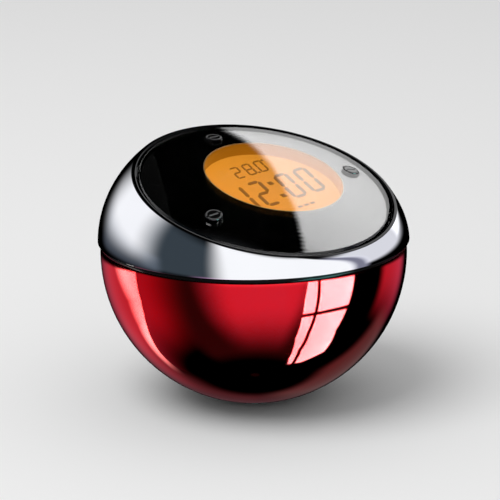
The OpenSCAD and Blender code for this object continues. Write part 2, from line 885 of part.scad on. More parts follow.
module chassis() {
    color("darkslategray") difference() {
        union() {
            on_face() translate([0, 0, chassis_bottom]) cylinder(r = chassis_r, h = chassis_t);
            on_face() for (a = board_screw_angles)
                rotate([0, 0, a]) translate([board_screw_ring, 0, chassis_bottom])
                    cylinder(r = standoff_r, h = chassis_t + standoff_h, $fn = 32);
            on_face() for (a = boss_angles)
                rotate([0, 0, a]) translate([boss_ring, 0, chassis_bottom])
                    cylinder(r = boss_r, h = boss_z - chassis_bottom, $fn = 32);
            intersection() {
                chassis_legs();
                on_face() translate([-bowl_r, -bowl_r, chassis_top - chassis_t / 2 - 2 * bowl_r])
                    cube([2 * bowl_r, 2 * bowl_r, 2 * bowl_r]);
            }
        }
        on_face() for (a = board_screw_angles)
            rotate([0, 0, a]) translate([board_screw_ring, 0, chassis_bottom - over])
                cylinder(r = pilot_r, h = chassis_t + standoff_h + 2 * over, $fn = 24);
        on_face() for (a = boss_angles)
            rotate([0, 0, a]) translate([boss_ring, 0, chassis_bottom - over]) {
                cylinder(r = screw_hole_r, h = boss_z - chassis_bottom + 2 * over, $fn = 24);
                cylinder(r = head_r + play, h = over + chassis_t, $fn = 32);
            }
        for (p = post_places)
            at_ball() translate([p[0], p[1], floor_z - over])
                cylinder(r = pilot_r, h = base_screw_len + over, $fn = 24);
        on_face() for (p = lead_place_shares * board_r)
            translate([p[0], p[1], chassis_bottom - over])
                cylinder(r = lead_hole_r, h = chassis_t + 2 * over, $fn = 24);
    }
}

// Three posts that reach down to the bowl's floor, joined by webs
module chassis_legs() {
    at_ball() {
        for (p = post_places)
            translate([p[0], p[1], floor_z]) cylinder(r = post_r, h = bowl_r, $fn = 32);
        for (p = [0 : 2]) {
            a = post_places[p];
            b = post_places[(p + 1) % 3];
            translate([a[0], a[1], floor_z + post_free])
                rotate([0, 0, atan2(b[1] - a[1], b[0] - a[0])])
                    translate([0, -web_t / 2, 0]) cube([norm(b - a), web_t, bowl_r - post_free]);
        }
    }
}

module chassis_screws() {
    color("silver") on_face() for (a = boss_angles)
        rotate([0, 0, a]) translate([boss_ring, 0, chassis_top])
            screw(boss_z - chassis_top + boss_h - bite_margin, screw_r, head_r, head_h);
}

module speaker_basket() {
    color("lightgray") at_back(speaker_angle) difference() {
        union() {
            translate([0, 0, speaker_front - basket_rim_t]) cylinder(r = speaker_r, h = basket_rim_t);
            translate([0, 0, speaker_front - basket_depth])
                cylinder(r1 = magnet_r + basket_t, r2 = speaker_r - speaker_edge,
                    h = basket_depth - basket_rim_t);
        }
        translate([0, 0, speaker_front - basket_depth + basket_t])
            cylinder(r1 = magnet_r, r2 = speaker_r - speaker_edge - basket_t,
                h = basket_depth - basket_rim_t - basket_t);
        translate([0, 0, speaker_front - basket_rim_t - basket_step])
            cylinder(r = speaker_r - speaker_edge - basket_t, h = basket_rim_t + over);
    }
}

module speaker_cone() {
    cone_r = speaker_r - speaker_edge - basket_t - play;
    color("black") at_back(speaker_angle) difference() {
        translate([0, 0, speaker_front - basket_rim_t]) cylinder(r = cone_r, h = basket_rim_t - play);
        translate([0, 0, speaker_front - play])
            sphere(r = basket_rim_t * cone_cap_share, $fn = 48);
        tube(cone_r - cone_roll_inset, cone_r - cone_roll_inset - cone_roll_w,
            speaker_front - basket_rim_t / 2, speaker_front + over);
    }
}

module speaker_magnet() {
    color("gray") at_back(speaker_angle) translate([0, 0, speaker_front - basket_depth - magnet_h])
        cylinder(r = magnet_r, h = magnet_h);
}

module speaker_clamp() {
    color("dimgray") at_back(speaker_angle) difference() {
        union() {
            translate([0, 0, clamp_back - clamp_t]) cylinder(r = speaker_seat_r, h = clamp_t);
            translate([-clamp_ear_x, -clamp_ear_r, clamp_back - clamp_t])
                cube([2 * clamp_ear_x, 2 * clamp_ear_r, clamp_t]);
            for (side = [-1, 1])
                translate([side * clamp_ear_x, 0, clamp_back - clamp_t])
                    cylinder(r = clamp_ear_r, h = clamp_t, $fn = 32);
            translate([0, 0, clamp_back - over])
                cylinder(r = speaker_r, h = speaker_front - basket_rim_t - clamp_back + over);
        }
        translate([0, 0, clamp_back - clamp_t - over])
            cylinder(r = speaker_r - clamp_collar_t, h = bowl_r);
        for (side = [-1, 1])
            translate([side * clamp_ear_x, 0, clamp_back - clamp_t - over])
                cylinder(r = screw_hole_r, h = clamp_t + 2 * over, $fn = 24);
    }
}

module clamp_screws() {
    color("silver") at_back(speaker_angle) for (side = [-1, 1])
        translate([side * clamp_ear_x, 0, clamp_back - clamp_t])
            screw(clamp_screw_len, screw_r, head_r, head_h);
}

module battery_tray() {
    color("firebrick") at_back(bay_angle) intersection() {
        difference() {
            translate([-tray_half - tray_wall, -tray_side - tray_wall, tray_floor - tray_wall])
                cube([2 * (tray_half + tray_wall), 2 * (tray_side + tray_wall), bowl_r]);
            translate([-tray_half, -tray_side, tray_floor])
                cube([2 * tray_half, 2 * tray_side, bowl_r]);
            barrel(door_corner + hinge_gap, -bowl_r, bowl_r);
        }
        sphere(r = inner_r - tray_skin, $fn = 160);
    }
}

module cell(way) {
    rotate([0, way * 90, 0]) translate([0, 0, cell_shift]) {
        translate([0, 0, -cell_len / 2]) cylinder(r = cell_r, h = cell_len - cell_button_h);
        translate([0, 0, cell_len / 2 - cell_button_h - over])
            cylinder(r = cell_button_r, h = cell_button_h + over, $fn = 32);
    }
}

module battery_cells() {
    color("goldenrod") at_back(bay_angle) for (side = [-1, 1])
        translate([0, side * cell_pitch / 2, cell_out]) cell(side);
}

// A leaf bent to a blunt point that presses on the flat end of a cell
module contact_springs() {
    reach = tray_half + cell_shift - cell_len / 2;
    high = cell_r * leaf_share;
    root = cell_r * leaf_root_share;
    color("silver") at_back(bay_angle) for (side = [-1, 1])
        translate([side * -tray_half, side * cell_pitch / 2, cell_out])
            scale(side)
                rotate([90, 0, 0]) translate([0, 0, -contact_w / 2])
                    linear_extrude(contact_w) polygon([
                        [0, -high], [leaf_t, -high], [reach, -leaf_t], [reach, leaf_t],
                        [leaf_t, high], [0, high], [0, root], [reach - 2 * leaf_t, 0], [0, -root]
                    ]);
}

module contact_plates() {
    color("silver") at_back(bay_angle) for (side = [-1, 1])
        translate([side * (tray_half - plate_t / 2), side * cell_pitch / 2, cell_out])
            cube([plate_t, contact_w, contact_w], center = true);
}

module battery_door() {
    color("crimson") at_back(bay_angle) difference() {
        intersection() {
            sphere(r = bowl_r, $fn = 160);
            union() {
                difference() {
                    translate([hinge_x, -door_v + door_gap, 0])
                        cube([door_x - door_gap - hinge_x, 2 * (door_v - door_gap), bowl_r]);
                    sphere(r = bowl_r - door_t, $fn = 160);
                    barrels(hinge_r + hinge_gap, lug_in - hinge_gap, lug_out + hinge_gap);
                }
                barrel(hinge_r, -lug_in + hinge_gap, lug_in - hinge_gap);
                barrels(hinge_r, lug_out + hinge_gap, hinge_reach - hinge_gap);
                translate([door_x - door_gap - latch_t, -latch_w / 2, latch_out - latch_h])
                    cube([latch_t, latch_w, latch_h + door_t / 2]);
            }
        }
        barrel(pin_r + pin_slip, -lug_in, lug_in);
        translate([grip_x, 0, sqrt(pow(bowl_r, 2) - pow(grip_x, 2)) + grip_r - grip_d])
            rotate([90, 0, 0]) cylinder(r = grip_r, h = door_v, center = true, $fn = 48);
    }
}

module door_pin() {
    color("silver") at_back(bay_angle)
        barrel(pin_r, -lug_out + pin_cover + pin_slip, lug_out - pin_cover - pin_slip);
}

module base_screws() {
    color("silver") at_ball() for (p = post_places)
        translate([p[0], p[1], flat_z + foot_pocket + base_head_seat])
            screw(base_screw_len, screw_r, base_head_r, base_head_seat - play);
}

module foot_pad() {
    color("dimgray") cylinder(r = foot_r, h = foot_proud + foot_pocket);
}

module ballast_weight() {
    low = floor_z + ballast_lift;
    ballast_r = sqrt(pow(inner_r, 2) - pow(low, 2)) - ballast_clear;
    across = tray_half + tray_wall + ballast_clear;
    along = tray_side + tray_wall + ballast_clear;
    color("gray") difference() {
        at_ball() translate([0, 0, low]) cylinder(r = ballast_r, h = ballast_h);
        for (p = post_places)
            at_ball() translate([p[0], p[1], low - over])
                cylinder(r = post_r + play, h = ballast_h + 2 * over, $fn = 32);
        at_back(bay_angle)
            translate([-across, -along, tray_floor - tray_wall - ballast_clear])
                cube([2 * across, 2 * along, bowl_r]);
    }
}

// A pair of leads from the board, through the chassis, to the back of a piece that looks outwards;
// the last stretch stands square on that piece
module leads(first, x_share, along, outwards, down) {
    for (k = [first, first + 1]) {
        place = lead_place_shares[k] * board_r;
        wire([
            face_point([place[0], place[1], board_z - board_t]),
            face_point([place[0], place[1], chassis_bottom - lead_drop]),
            back_point([place[0] * x_share, along, outwards - lead_stand], down),
            back_point([place[0] * x_share, along, outwards], down)
        ], lead_r);
    }
}

module battery_leads() {
    color("red") leads(0, 1, tray_side / 2, tray_floor - tray_wall, bay_angle);
}

module speaker_leads() {
    color("black")
        leads(2, lead_squeeze, magnet_r / 2, speaker_front - basket_depth - magnet_h, speaker_angle);
}

bowl_shell();
trim_band();
chrome_ring();
lens();
face_mask();
lens_tape();
key_top();
key_left();
key_right();
plunger_top();
plunger_left();
plunger_right();
switch_bodies();
window_well();
lcd_front_glass();
lcd_rear_glass();
lcd_figures();
light_guide();
backlight_leds();
lcd_frame();
contact_rubber();
main_board();
sound_chip();
crystal();
capacitors();
board_screws();
chassis();
chassis_screws();
speaker_basket();
speaker_cone();
speaker_magnet();
speaker_clamp();
clamp_screws();
battery_tray();
battery_cells();
contact_springs();
contact_plates();
battery_door();
door_pin();
base_screws();
foot_pad();
ballast_weight();
battery_leads();
speaker_leads();
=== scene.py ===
# %% [markdown]
# # A round table clock, dressed in Blender
# The CAD model is the fixed frame: it says where every piece sits and how it moves. This script
# only adds looks. It works in metres, with the origin on the table under the middle of the foot,
# the reader in front at -Y and +Z up.
# %% Load the frame
import json
import math

import bmesh
import bpy
import numpy as np
from mathutils import Matrix, Vector

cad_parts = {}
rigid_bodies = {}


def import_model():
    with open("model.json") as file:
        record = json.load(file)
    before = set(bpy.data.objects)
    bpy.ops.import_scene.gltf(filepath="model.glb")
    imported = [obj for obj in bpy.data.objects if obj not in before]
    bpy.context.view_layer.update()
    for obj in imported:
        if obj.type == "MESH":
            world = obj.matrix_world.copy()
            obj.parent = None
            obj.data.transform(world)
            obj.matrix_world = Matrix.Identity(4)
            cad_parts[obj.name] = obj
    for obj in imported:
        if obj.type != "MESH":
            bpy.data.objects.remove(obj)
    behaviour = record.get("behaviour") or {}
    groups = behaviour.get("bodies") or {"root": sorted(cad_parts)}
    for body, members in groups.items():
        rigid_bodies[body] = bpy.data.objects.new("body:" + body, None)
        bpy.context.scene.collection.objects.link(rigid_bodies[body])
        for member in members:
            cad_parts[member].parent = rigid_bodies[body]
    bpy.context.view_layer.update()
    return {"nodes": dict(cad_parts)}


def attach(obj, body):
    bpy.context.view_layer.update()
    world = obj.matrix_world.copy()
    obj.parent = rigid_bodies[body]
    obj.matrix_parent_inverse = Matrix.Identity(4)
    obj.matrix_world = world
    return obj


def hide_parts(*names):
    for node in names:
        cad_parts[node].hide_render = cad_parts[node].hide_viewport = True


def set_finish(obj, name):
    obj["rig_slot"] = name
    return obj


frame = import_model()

# %% [markdown]
# The sizes are the ones that drive the CAD model, said once more in metres. The clock has two
# places that shapes are measured from: the middle of the ball, and the middle of the tilted face.
# Writing both as matrices lets every piece be drawn upright, round its own Z axis, and then be
# put in its place in one step.
# %% Sizes and the two places they are measured from
BOWL_R = 0.045
WALL = 0.0022
INNER_R = BOWL_R - WALL
FOOT_R = 0.0115
FOOT_MARGIN = 0.0018
FOOT_PROUD = 0.0008
FOOT_POCKET = 0.0005
RIM_Z = 0.0024
TRIM_H = 0.0016
PLAY = 0.00015
SEAM_Z = RIM_Z + TRIM_H
SPIGOT_H = 0.003
SPIGOT_T = 0.0013
RING_R = BOWL_R + 0.0007
FRONT_ROLL = 0.0024
FRONT_RISE = 0.0045
LIP_W = 0.0012
FACE_TILT = math.radians(17.5)
LENS_R = 0.8244 * BOWL_R
LENS_T = 0.0022
LENS_GAP = 0.0005
LENS_CHAMFER = 0.0005
DOME_RISE = 0.0043
DOME_R = (LENS_R ** 2 + DOME_RISE ** 2) / (2 * DOME_RISE)
MASK_T = 0.00025
MASK_MARGIN = 0.0004
TAPE_T = 0.0004
SEAT_R = LENS_R - 0.0036
SEAT_T = 0.0015
WINDOW_R = 0.547 * LENS_R
WINDOW_PLACE = (0.108 * LENS_R, 0.054 * LENS_R)
KEY_R = 0.00245
KEY_SLIP = 0.00008
KEY_PROUD = 0.00015


def dome_height(r, depth=0.0):
    """Height over the lens's rim of the dome, sunk by a depth, at a radius."""
    return math.sqrt((DOME_R - depth) ** 2 - r ** 2) - (DOME_R - DOME_RISE)


SEAT_Z = dome_height(LENS_R, LENS_T + MASK_T) - TAPE_T
LIP_R = LENS_R + LENS_GAP + LIP_W
BALL_Z = FOOT_PROUD + math.sqrt(BOWL_R ** 2 - (FOOT_R + FOOT_MARGIN) ** 2)
FACE_Y = LIP_R * math.cos(FACE_TILT) - (RING_R - FRONT_ROLL)
FACE_Z = SEAM_Z + FRONT_RISE + LIP_R * math.sin(FACE_TILT)
BALL = Matrix.Translation((0, 0, BALL_Z))
FACE = Matrix.Translation((0, FACE_Y, BALL_Z + FACE_Z)) @ Matrix.Rotation(FACE_TILT, 4, "X")
DOME_MIDDLE = FACE @ Vector((0, 0, DOME_RISE - DOME_R))
print("Middle of the ball", BALL.to_translation(), "middle of the face", FACE.to_translation())

# %% [markdown]
# Most pieces of a round clock are turned on a lathe in spirit: a profile of radius and height is
# spun once round Z. Real mouldings never end in a knife edge, so the profile's corners are
# rounded before the spin. A finished piece becomes an object at the origin whose place is in its
# mesh, rides on a CAD body and stands for the CAD nodes that it replaces.
# %% Helpers that turn, place and cut pieces
def rounded(profile, radius, steps=4):
    """The profile with each inner corner replaced by a short curve of about that radius."""
    made = [Vector(profile[0])]
    for before, corner, after in zip(profile, profile[1:], profile[2:]):
        corner = Vector(corner)
        into, out = Vector(before) - corner, Vector(after) - corner
        reach = min(radius, into.length / 2, out.length / 2)
        start, end = corner + into.normalized() * reach, corner + out.normalized() * reach
        for k in range(steps + 1):
            t = k / steps
            made.append(start * (1 - t) ** 2 + corner * 2 * t * (1 - t) + end * t ** 2)
    return made + [Vector(profile[-1])]


def turned(profile, segments=192, closed=True):
    """A bmesh of a profile of (radius, height) points, spun once round Z."""
    bm = bmesh.new()
    verts = [bm.verts.new((point[0], 0, point[1])) for point in profile]
    pairs = list(zip(verts, verts[1:])) + ([(verts[-1], verts[0])] if closed else [])
    edges = [bm.edges.new(pair) for pair in pairs]
    bmesh.ops.spin(bm, geom=verts + edges, axis=(0, 0, 1), cent=(0, 0, 0), angle=math.tau,
                   steps=segments, use_merge=True)
    bmesh.ops.remove_doubles(bm, verts=bm.verts, dist=1e-7)
    return bm


def to_object(name, bm):
    """An object at the origin with the bmesh as its mesh, faces pointing outwards."""
    bmesh.ops.recalc_face_normals(bm, faces=bm.faces)
    mesh = bpy.data.meshes.new(name)
    bm.to_mesh(mesh)
    bm.free()
    made = bpy.data.objects.new(name, mesh)
    bpy.context.scene.collection.objects.link(made)
    return made


def smooth(made, crease=35):
    """Smooth shading that stays sharp at edges that turn by more than the crease angle."""
    made.data.polygons.foreach_set("use_smooth", [True] * len(made.data.polygons))
    made.data.set_sharp_from_angle(angle=math.radians(crease))


def settle(made, body, slot, *nodes):
    """Lets a piece ride on a body, take its slot and stand for CAD nodes."""
    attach(made, body)
    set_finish(made, slot)
    if nodes:
        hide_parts(*nodes)
    print(made.name, len(made.data.vertices), "vertices on", body)
    return made


def combine(made, tool_bm, operation="DIFFERENCE"):
    """Cuts a closed tool out of a piece, or joins it on, and keeps the result as its mesh."""
    tool = to_object("tool", tool_bm)
    modifier = made.modifiers.new("tool", "BOOLEAN")
    modifier.operation, modifier.solver, modifier.object = operation, "EXACT", tool
    depsgraph = bpy.context.evaluated_depsgraph_get()
    mesh = bpy.data.meshes.new_from_object(made.evaluated_get(depsgraph))
    made.modifiers.clear()
    made.data = mesh
    bpy.data.meshes.remove(tool.data)


def lie_on_balls(made, balls, reach=8e-6):
    """Turns the normals of corners that lie on a known ball (middle, radius) exactly along it."""
    mesh = made.data
    corner = np.zeros(len(mesh.loops) * 3)
    mesh.corner_normals.foreach_get("vector", corner)
    corner = corner.reshape(-1, 3)
    index = np.zeros(len(mesh.loops), int)
    mesh.loops.foreach_get("vertex_index", index)
    place = np.array([v.co for v in mesh.vertices])[index]
    total = np.zeros(len(mesh.polygons), int)
    mesh.polygons.foreach_get("loop_total", total)
    flat = np.repeat(np.array([p.normal for p in mesh.polygons]), total, axis=0)
    for middle, radius in balls:
        out = place - np.array(middle)
        far = np.linalg.norm(out, axis=1)
        out /= far[:, None]
        facing = (flat * out).sum(1)
        on = (abs(far - radius) < reach) & (abs(facing) > 0.97)
        corner[on] = out[on] * np.sign(facing[on])[:, None]
    mesh.normals_split_custom_set(corner.tolist())


def cad_copy(name, node):
    """A welded copy of a CAD node's mesh as a new object."""
    bm = bmesh.new()
    bm.from_mesh(frame["nodes"][node].data)
    bmesh.ops.remove_doubles(bm, verts=bm.verts, dist=1e-6)
    mesh = bpy.data.meshes.new(name)
    bm.to_mesh(mesh)
    bm.free()
    made = bpy.data.objects.new(name, mesh)
    bpy.context.scene.collection.objects.link(made)
    return made


# %% [markdown]
# The bowl and the battery door are lacquered to a mirror, and a mirror shows every flat of a
# mesh. The CAD shapes are right, with their hinge lugs and sound holes, so the pieces are welded
# copies of them. Only their normals change: each corner that lies on the ball gets the ball's own
# normal, which is exact all over a face, because the ball's normal grows straight from its middle.
# %% The red bowl and its door
bowl = cad_copy("red_bowl", "bowl_shell")
smooth(bowl)
lie_on_balls(bowl, [(BALL.to_translation(), BOWL_R), (BALL.to_translation(), INNER_R)])
settle(bowl, "housing", "red_gloss", "bowl_shell")
door = cad_copy("red_door", "battery_door")
smooth(door)
lie_on_balls(door, [(BALL.to_translation(), BOWL_R)])
settle(door, "battery_door_body", "red_gloss", "battery_door")

# %% [markdown]
# Between bowl and ring runs a thin polished band with a round edge. It is one turned piece: its
# spigot reaches down inside the bowl's rim, and its edge is a half circle.
# %% The trim band
EDGE_STEPS = 16
half = TRIM_H / 2
edge = [
    (BOWL_R - half + half * math.sin(math.pi * k / EDGE_STEPS),
     RIM_Z + half - half * math.cos(math.pi * k / EDGE_STEPS))
    for k in range(EDGE_STEPS + 1)
]
spigot = INNER_R - PLAY
profile = [(spigot - SPIGOT_T, RIM_Z - SPIGOT_H), (spigot, RIM_Z - SPIGOT_H), (spigot, RIM_Z)]
profile += edge + [(spigot - SPIGOT_T, SEAM_Z)]
band_bm = turned(profile, segments=256)
bmesh.ops.transform(band_bm, matrix=BALL, verts=band_bm.verts)
band = to_object("trim_line", band_bm)
smooth(band)
settle(band, "housing", "trim", "trim_band")

# %% [markdown]
# The chromed ring is thick behind and thin in front, so it can't be spun. It is a stack of
# circles instead: each one leans a little further over, from the level seam to the tilted lip,
# and bridge_loops skins them. The same list of circles goes on over the lip, down the lens's
# pocket, under its seat and down the hollow inside, back to the seam, so the skin is closed.
# It has a known fault: at the seam and under the seat it also runs straight across the opening, as
# two flat sheets inside the clock.
# The ring leans inward from its foot on, most in front, as a pressed sheet has to, to leave its die.
# %% The circles of the chromed ring
RING_SEGMENTS = 256
ROLL_STEPS = 36
HOLLOW_STEPS = 8
FRONT_DRAFT, BACK_DRAFT = math.radians(5), math.radians(1.5)
LIP_ROUND = 0.00016


def leaning_circle(bm, back, front):
    """Edges of a circle through its rearmost and foremost points (y, z)."""
    middle, half = (back + front) / 2, (back - front) / 2
    matrix = Matrix.Translation((0, middle[0], middle[1])) @ Matrix.Rotation(
        math.atan2(half[1], half[0]), 4, "X")
    made = bmesh.ops.create_circle(
        bm, cap_ends=False, segments=RING_SEGMENTS, radius=half.length, matrix=matrix)["verts"]
    return list({edge for vert in made for edge in vert.link_edges})


def roll(inward, rise, share, draft=0.0):
    """How far in and up a point has come on the arc to (inward, rise) that starts at a draft."""
    turn = 2 * (math.atan2(inward, rise) - draft)
    radius = math.hypot(inward, rise) / (2 * math.sin(turn / 2))
    angle = draft + turn * share
    return radius * (math.cos(draft) - math.cos(angle)), radius * (math.sin(angle) - math.sin(draft))


def face_circle(radius, height):
    """Rearmost and foremost points (y, z) of a circle round the face's axis, about the ball."""
    place = [FACE @ Vector((0, side * radius, height)) for side in (1, -1)]
    return [Vector((p.y, p.z - BALL_Z)) for p in place]


lip_back, lip_front = face_circle(LIP_R, 0)
stations = []
for k in range(ROLL_STEPS + 1):
    back_in, back_up = roll(RING_R - lip_back[0], lip_back[1] - SEAM_Z, k / ROLL_STEPS,
                            BACK_DRAFT)
    front_in, front_up = roll(RING_R + lip_front[0], lip_front[1] - SEAM_Z, k / ROLL_STEPS,
                              FRONT_DRAFT)
    stations.append((Vector((RING_R - back_in, SEAM_Z + back_up)),
                     Vector((front_in - RING_R, SEAM_Z + front_up))))
LIP = len(stations) - 1
stations += [face_circle(LENS_R + LENS_GAP, 0), face_circle(LENS_R + LENS_GAP, SEAT_Z),
             face_circle(SEAT_R, SEAT_Z), face_circle(SEAT_R, SEAT_Z - SEAT_T)]

# %% [markdown]
# Inside, the ring is hollowed by the same ball as the bowl. A plane cuts a ball in a circle, so
# the hollow's circles lie in planes that fan out from the seat's underside to the level seam.
# %% The hollow of the ring, and its skin
far = FACE @ Vector((0, 0, SEAT_Z - SEAT_T))
for k in range(HOLLOW_STEPS + 1):
    share = k / HOLLOW_STEPS
    tilt = FACE_TILT * (1 - share)
    foot = Vector((far.y * (1 - share), (far.z - BALL_Z) * (1 - share) + SEAM_Z * share))
    normal = Vector((-math.sin(tilt), math.cos(tilt)))
    along = Vector((math.cos(tilt), math.sin(tilt)))
    distance = foot.dot(normal)
    radius = math.sqrt(INNER_R ** 2 - distance ** 2)
    stations.append((normal * distance + along * radius, normal * distance - along * radius))
ring_bm = bmesh.new()
circles = [leaning_circle(ring_bm, *pair) for pair in stations]
for one, other in zip(circles, circles[1:] + circles[:1]):
    bmesh.ops.bridge_loops(ring_bm, edges=one + other)
bmesh.ops.bevel(ring_bm, geom=circles[LIP] + circles[LIP + 1], offset=LIP_ROUND,
                segments=3, profile=0.5, affect="EDGES", material=-1)
bmesh.ops.transform(ring_bm, matrix=BALL, verts=ring_bm.verts)
ring = to_object("chromed_ring", ring_bm)
smooth(ring)
settle(ring, "housing", "chrome", "chrome_ring")

# %% [markdown]
# The lens is a clear moulding: a shallow dome of even thickness with a chamfer round its
# rim and three round holes for the keys. Glass shows both of its sides, so it is closed and both
# sides get true normals of their balls. The black mask is a coat under it. Its piece lies a hair
# lower than the glass, because two surfaces in one place flicker in a render.
# %% The lens and the mask under it
DOME_STEPS = 40
LENS_ROUND = 0.0001
LENS_FOOT_W = 0.0004
KEYS = {"top": (91.5, 0.763), "left": (206, 0.752), "right": (-0.6, 0.8086)}
KEY_PLACES = {name: (share * LENS_R * math.cos(math.radians(angle)),
                     share * LENS_R * math.sin(math.radians(angle)))
              for name, (angle, share) in KEYS.items()}
MASK_AIR = 0.00002


def dome_arc(inner, outer, depth, lift=0.0):
    """Points of the dome's profile, sunk by a depth, from one radius to another."""
    radii = [inner + (outer - inner) * k / DOME_STEPS for k in range(DOME_STEPS + 1)]
    return [(r, dome_height(r, depth) + lift) for r in radii]


def face_place(place):
    """Matrix that puts something drawn round Z at a place of the face."""
    return FACE @ Matrix.Translation((*place, 0))


def drill(made, place, radius, segments=64):
    """Cuts a round hole through a piece of the face."""
    tool_bm = bmesh.new()
    bmesh.ops.create_cone(tool_bm, cap_ends=True, segments=segments, radius1=radius,
                          radius2=radius, depth=LENS_R, matrix=face_place(place))
    combine(made, tool_bm)


def drill_key_holes(made):
    """Cuts the three key holes through a piece of the face."""
    for place in KEY_PLACES.values():
        drill(made, place, KEY_R + KEY_SLIP)


shoulder = LENS_R - LENS_CHAMFER
profile = dome_arc(0, shoulder, 0)
profile += rounded([profile[-1], (LENS_R, -LENS_CHAMFER), (LENS_R, dome_height(LENS_R, LENS_T)),
                    (shoulder, dome_height(shoulder, LENS_T))], LENS_ROUND)[1:-1]
profile += dome_arc(LENS_R - LENS_FOOT_W, 0, LENS_T)
lens_bm = turned(profile, segments=256, closed=False)
bmesh.ops.transform(lens_bm, matrix=FACE, verts=lens_bm.verts)
lens = to_object("domed_lens", lens_bm)
drill_key_holes(lens)
smooth(lens, crease=20)
lie_on_balls(lens, [(DOME_MIDDLE, DOME_R), (DOME_MIDDLE, DOME_R - LENS_T)])
settle(lens, "housing", "lens_clear", "lens")

under = LENS_T + MASK_AIR
profile = dome_arc(0, LENS_R - MASK_MARGIN, under)
profile += dome_arc(LENS_R - MASK_MARGIN, 0, under + MASK_T)
mask_bm = turned(profile, segments=256, closed=False)
bmesh.ops.transform(mask_bm, matrix=FACE, verts=mask_bm.verts)
mask = to_object("black_mask", mask_bm)
drill_key_holes(mask)
drill(mask, WINDOW_PLACE, WINDOW_R, segments=256)
smooth(mask, crease=20)
lie_on_balls(mask, [(DOME_MIDDLE, DOME_R - under)])
settle(mask, "housing", "mask_black", "face_mask")

# %% [markdown]
# A key is a turned pin: cap, collar under the lens, and a stem. Its cap follows the dome, so after
# the spin the points of its top are dropped onto a ball a little larger than the dome's. The mark
# is a ring broken by a straight bar. It is filled with grey paint, almost level with the cap.
# %% The keys and their marks
KEY_FLANGE_R = KEY_R + 0.00065
KEY_FLANGE_T = 0.0008
KEY_STEM_R = 0.0015
KEY_ROUND = 0.00022
CAP_STEPS = 8
CAP_SIDE_H = 0.0005
MARK_RAISE = 0.00002
MARK_R = KEY_R - 0.0002
MARK_W = 0.00038
MARK_BAR_W = 0.00062
MARK_BAR_LEN = 0.0029
MARK_GAP = 0.00075
MARK_DEPTH = 0.00012
MARK_BAR_ROUND = 0.00014
MARK_STEPS = 28
cad_key = frame["nodes"]["key_top"].data
stem_end = min((FACE.inverted() @ v.co).z for v in cad_key.vertices)


def drop_onto_dome(verts, place, lift):
    """Moves points of a key, drawn round its own axis, onto the dome raised by a lift."""
    for vert in verts:
        radius = math.hypot(place[0] + vert.co.x, place[1] + vert.co.y)
        vert.co.z += dome_height(radius, -lift) - dome_height(math.hypot(*place))


for key_name, place in KEY_PLACES.items():
    ring_r = math.hypot(*place)
    cap_level = dome_height(ring_r)
    flange_top = dome_height(ring_r + KEY_FLANGE_R, LENS_T + MASK_T) - PLAY
    cap = [(KEY_R * k / CAP_STEPS, cap_level) for k in range(CAP_STEPS)]
    side = rounded([(KEY_R * 0.9, cap_level), (KEY_R, cap_level), (KEY_R, flange_top),
                    (KEY_FLANGE_R, flange_top), (KEY_FLANGE_R, flange_top - KEY_FLANGE_T),
                    (KEY_STEM_R, flange_top - KEY_FLANGE_T), (KEY_STEM_R, stem_end),
                    (0, stem_end)], KEY_ROUND, steps=5)
    key_bm = turned(cap + [tuple(p) for p in side], segments=96, closed=False)
    top = [v for v in key_bm.verts if v.co.z > flange_top + CAP_SIDE_H]
    drop_onto_dome(top, place, KEY_PROUD)
    bmesh.ops.transform(key_bm, matrix=face_place(place), verts=key_bm.verts)
    key = to_object("cap_" + key_name, key_bm)
    smooth(key)
    settle(key, f"key_{key_name}_body", "key_black", "key_" + key_name)

    mark_bm = bmesh.new()
    start = math.asin(MARK_GAP / 2 / MARK_R)
    sweep = math.pi - 2 * start
    for flip in (0, math.pi):
        spot = [mark_bm.verts.new(Matrix.Rotation(start + flip, 3, "Z") @ Vector((r, 0, z)))
                for r, z in ((MARK_R, 0), (MARK_R, -MARK_DEPTH), (MARK_R - MARK_W, -MARK_DEPTH),
                             (MARK_R - MARK_W, 0))]
        ends = mark_bm.faces.new(spot)
        bmesh.ops.spin(mark_bm, geom=[ends], axis=(0, 0, 1), cent=(0, 0, 0), angle=sweep,
                       steps=MARK_STEPS)
    bar = bmesh.ops.create_cube(mark_bm, size=1, matrix=Matrix.Diagonal(
        (MARK_BAR_LEN, MARK_BAR_W, MARK_DEPTH, 1)))["verts"]
    bmesh.ops.translate(mark_bm, vec=(0, 0, -MARK_DEPTH / 2), verts=bar)
    bar_edges = [e for e in mark_bm.edges if e.verts[0] in bar and abs(
        e.verts[0].co.z - e.verts[1].co.z) > MARK_DEPTH / 2]
    bmesh.ops.bevel(mark_bm, geom=bar_edges, offset=MARK_BAR_ROUND, segments=3, profile=0.5,
                    affect="EDGES", material=-1)
    bmesh.ops.translate(mark_bm, vec=(0, 0, cap_level), verts=mark_bm.verts)
    drop_onto_dome(mark_bm.verts, place, KEY_PROUD + MARK_RAISE)
    bmesh.ops.transform(mark_bm, matrix=face_place(place), verts=mark_bm.verts)
    mark = to_object("mark_" + key_name, mark_bm)
    smooth(mark)
    settle(mark, f"key_{key_name}_body", "plunger_grey")
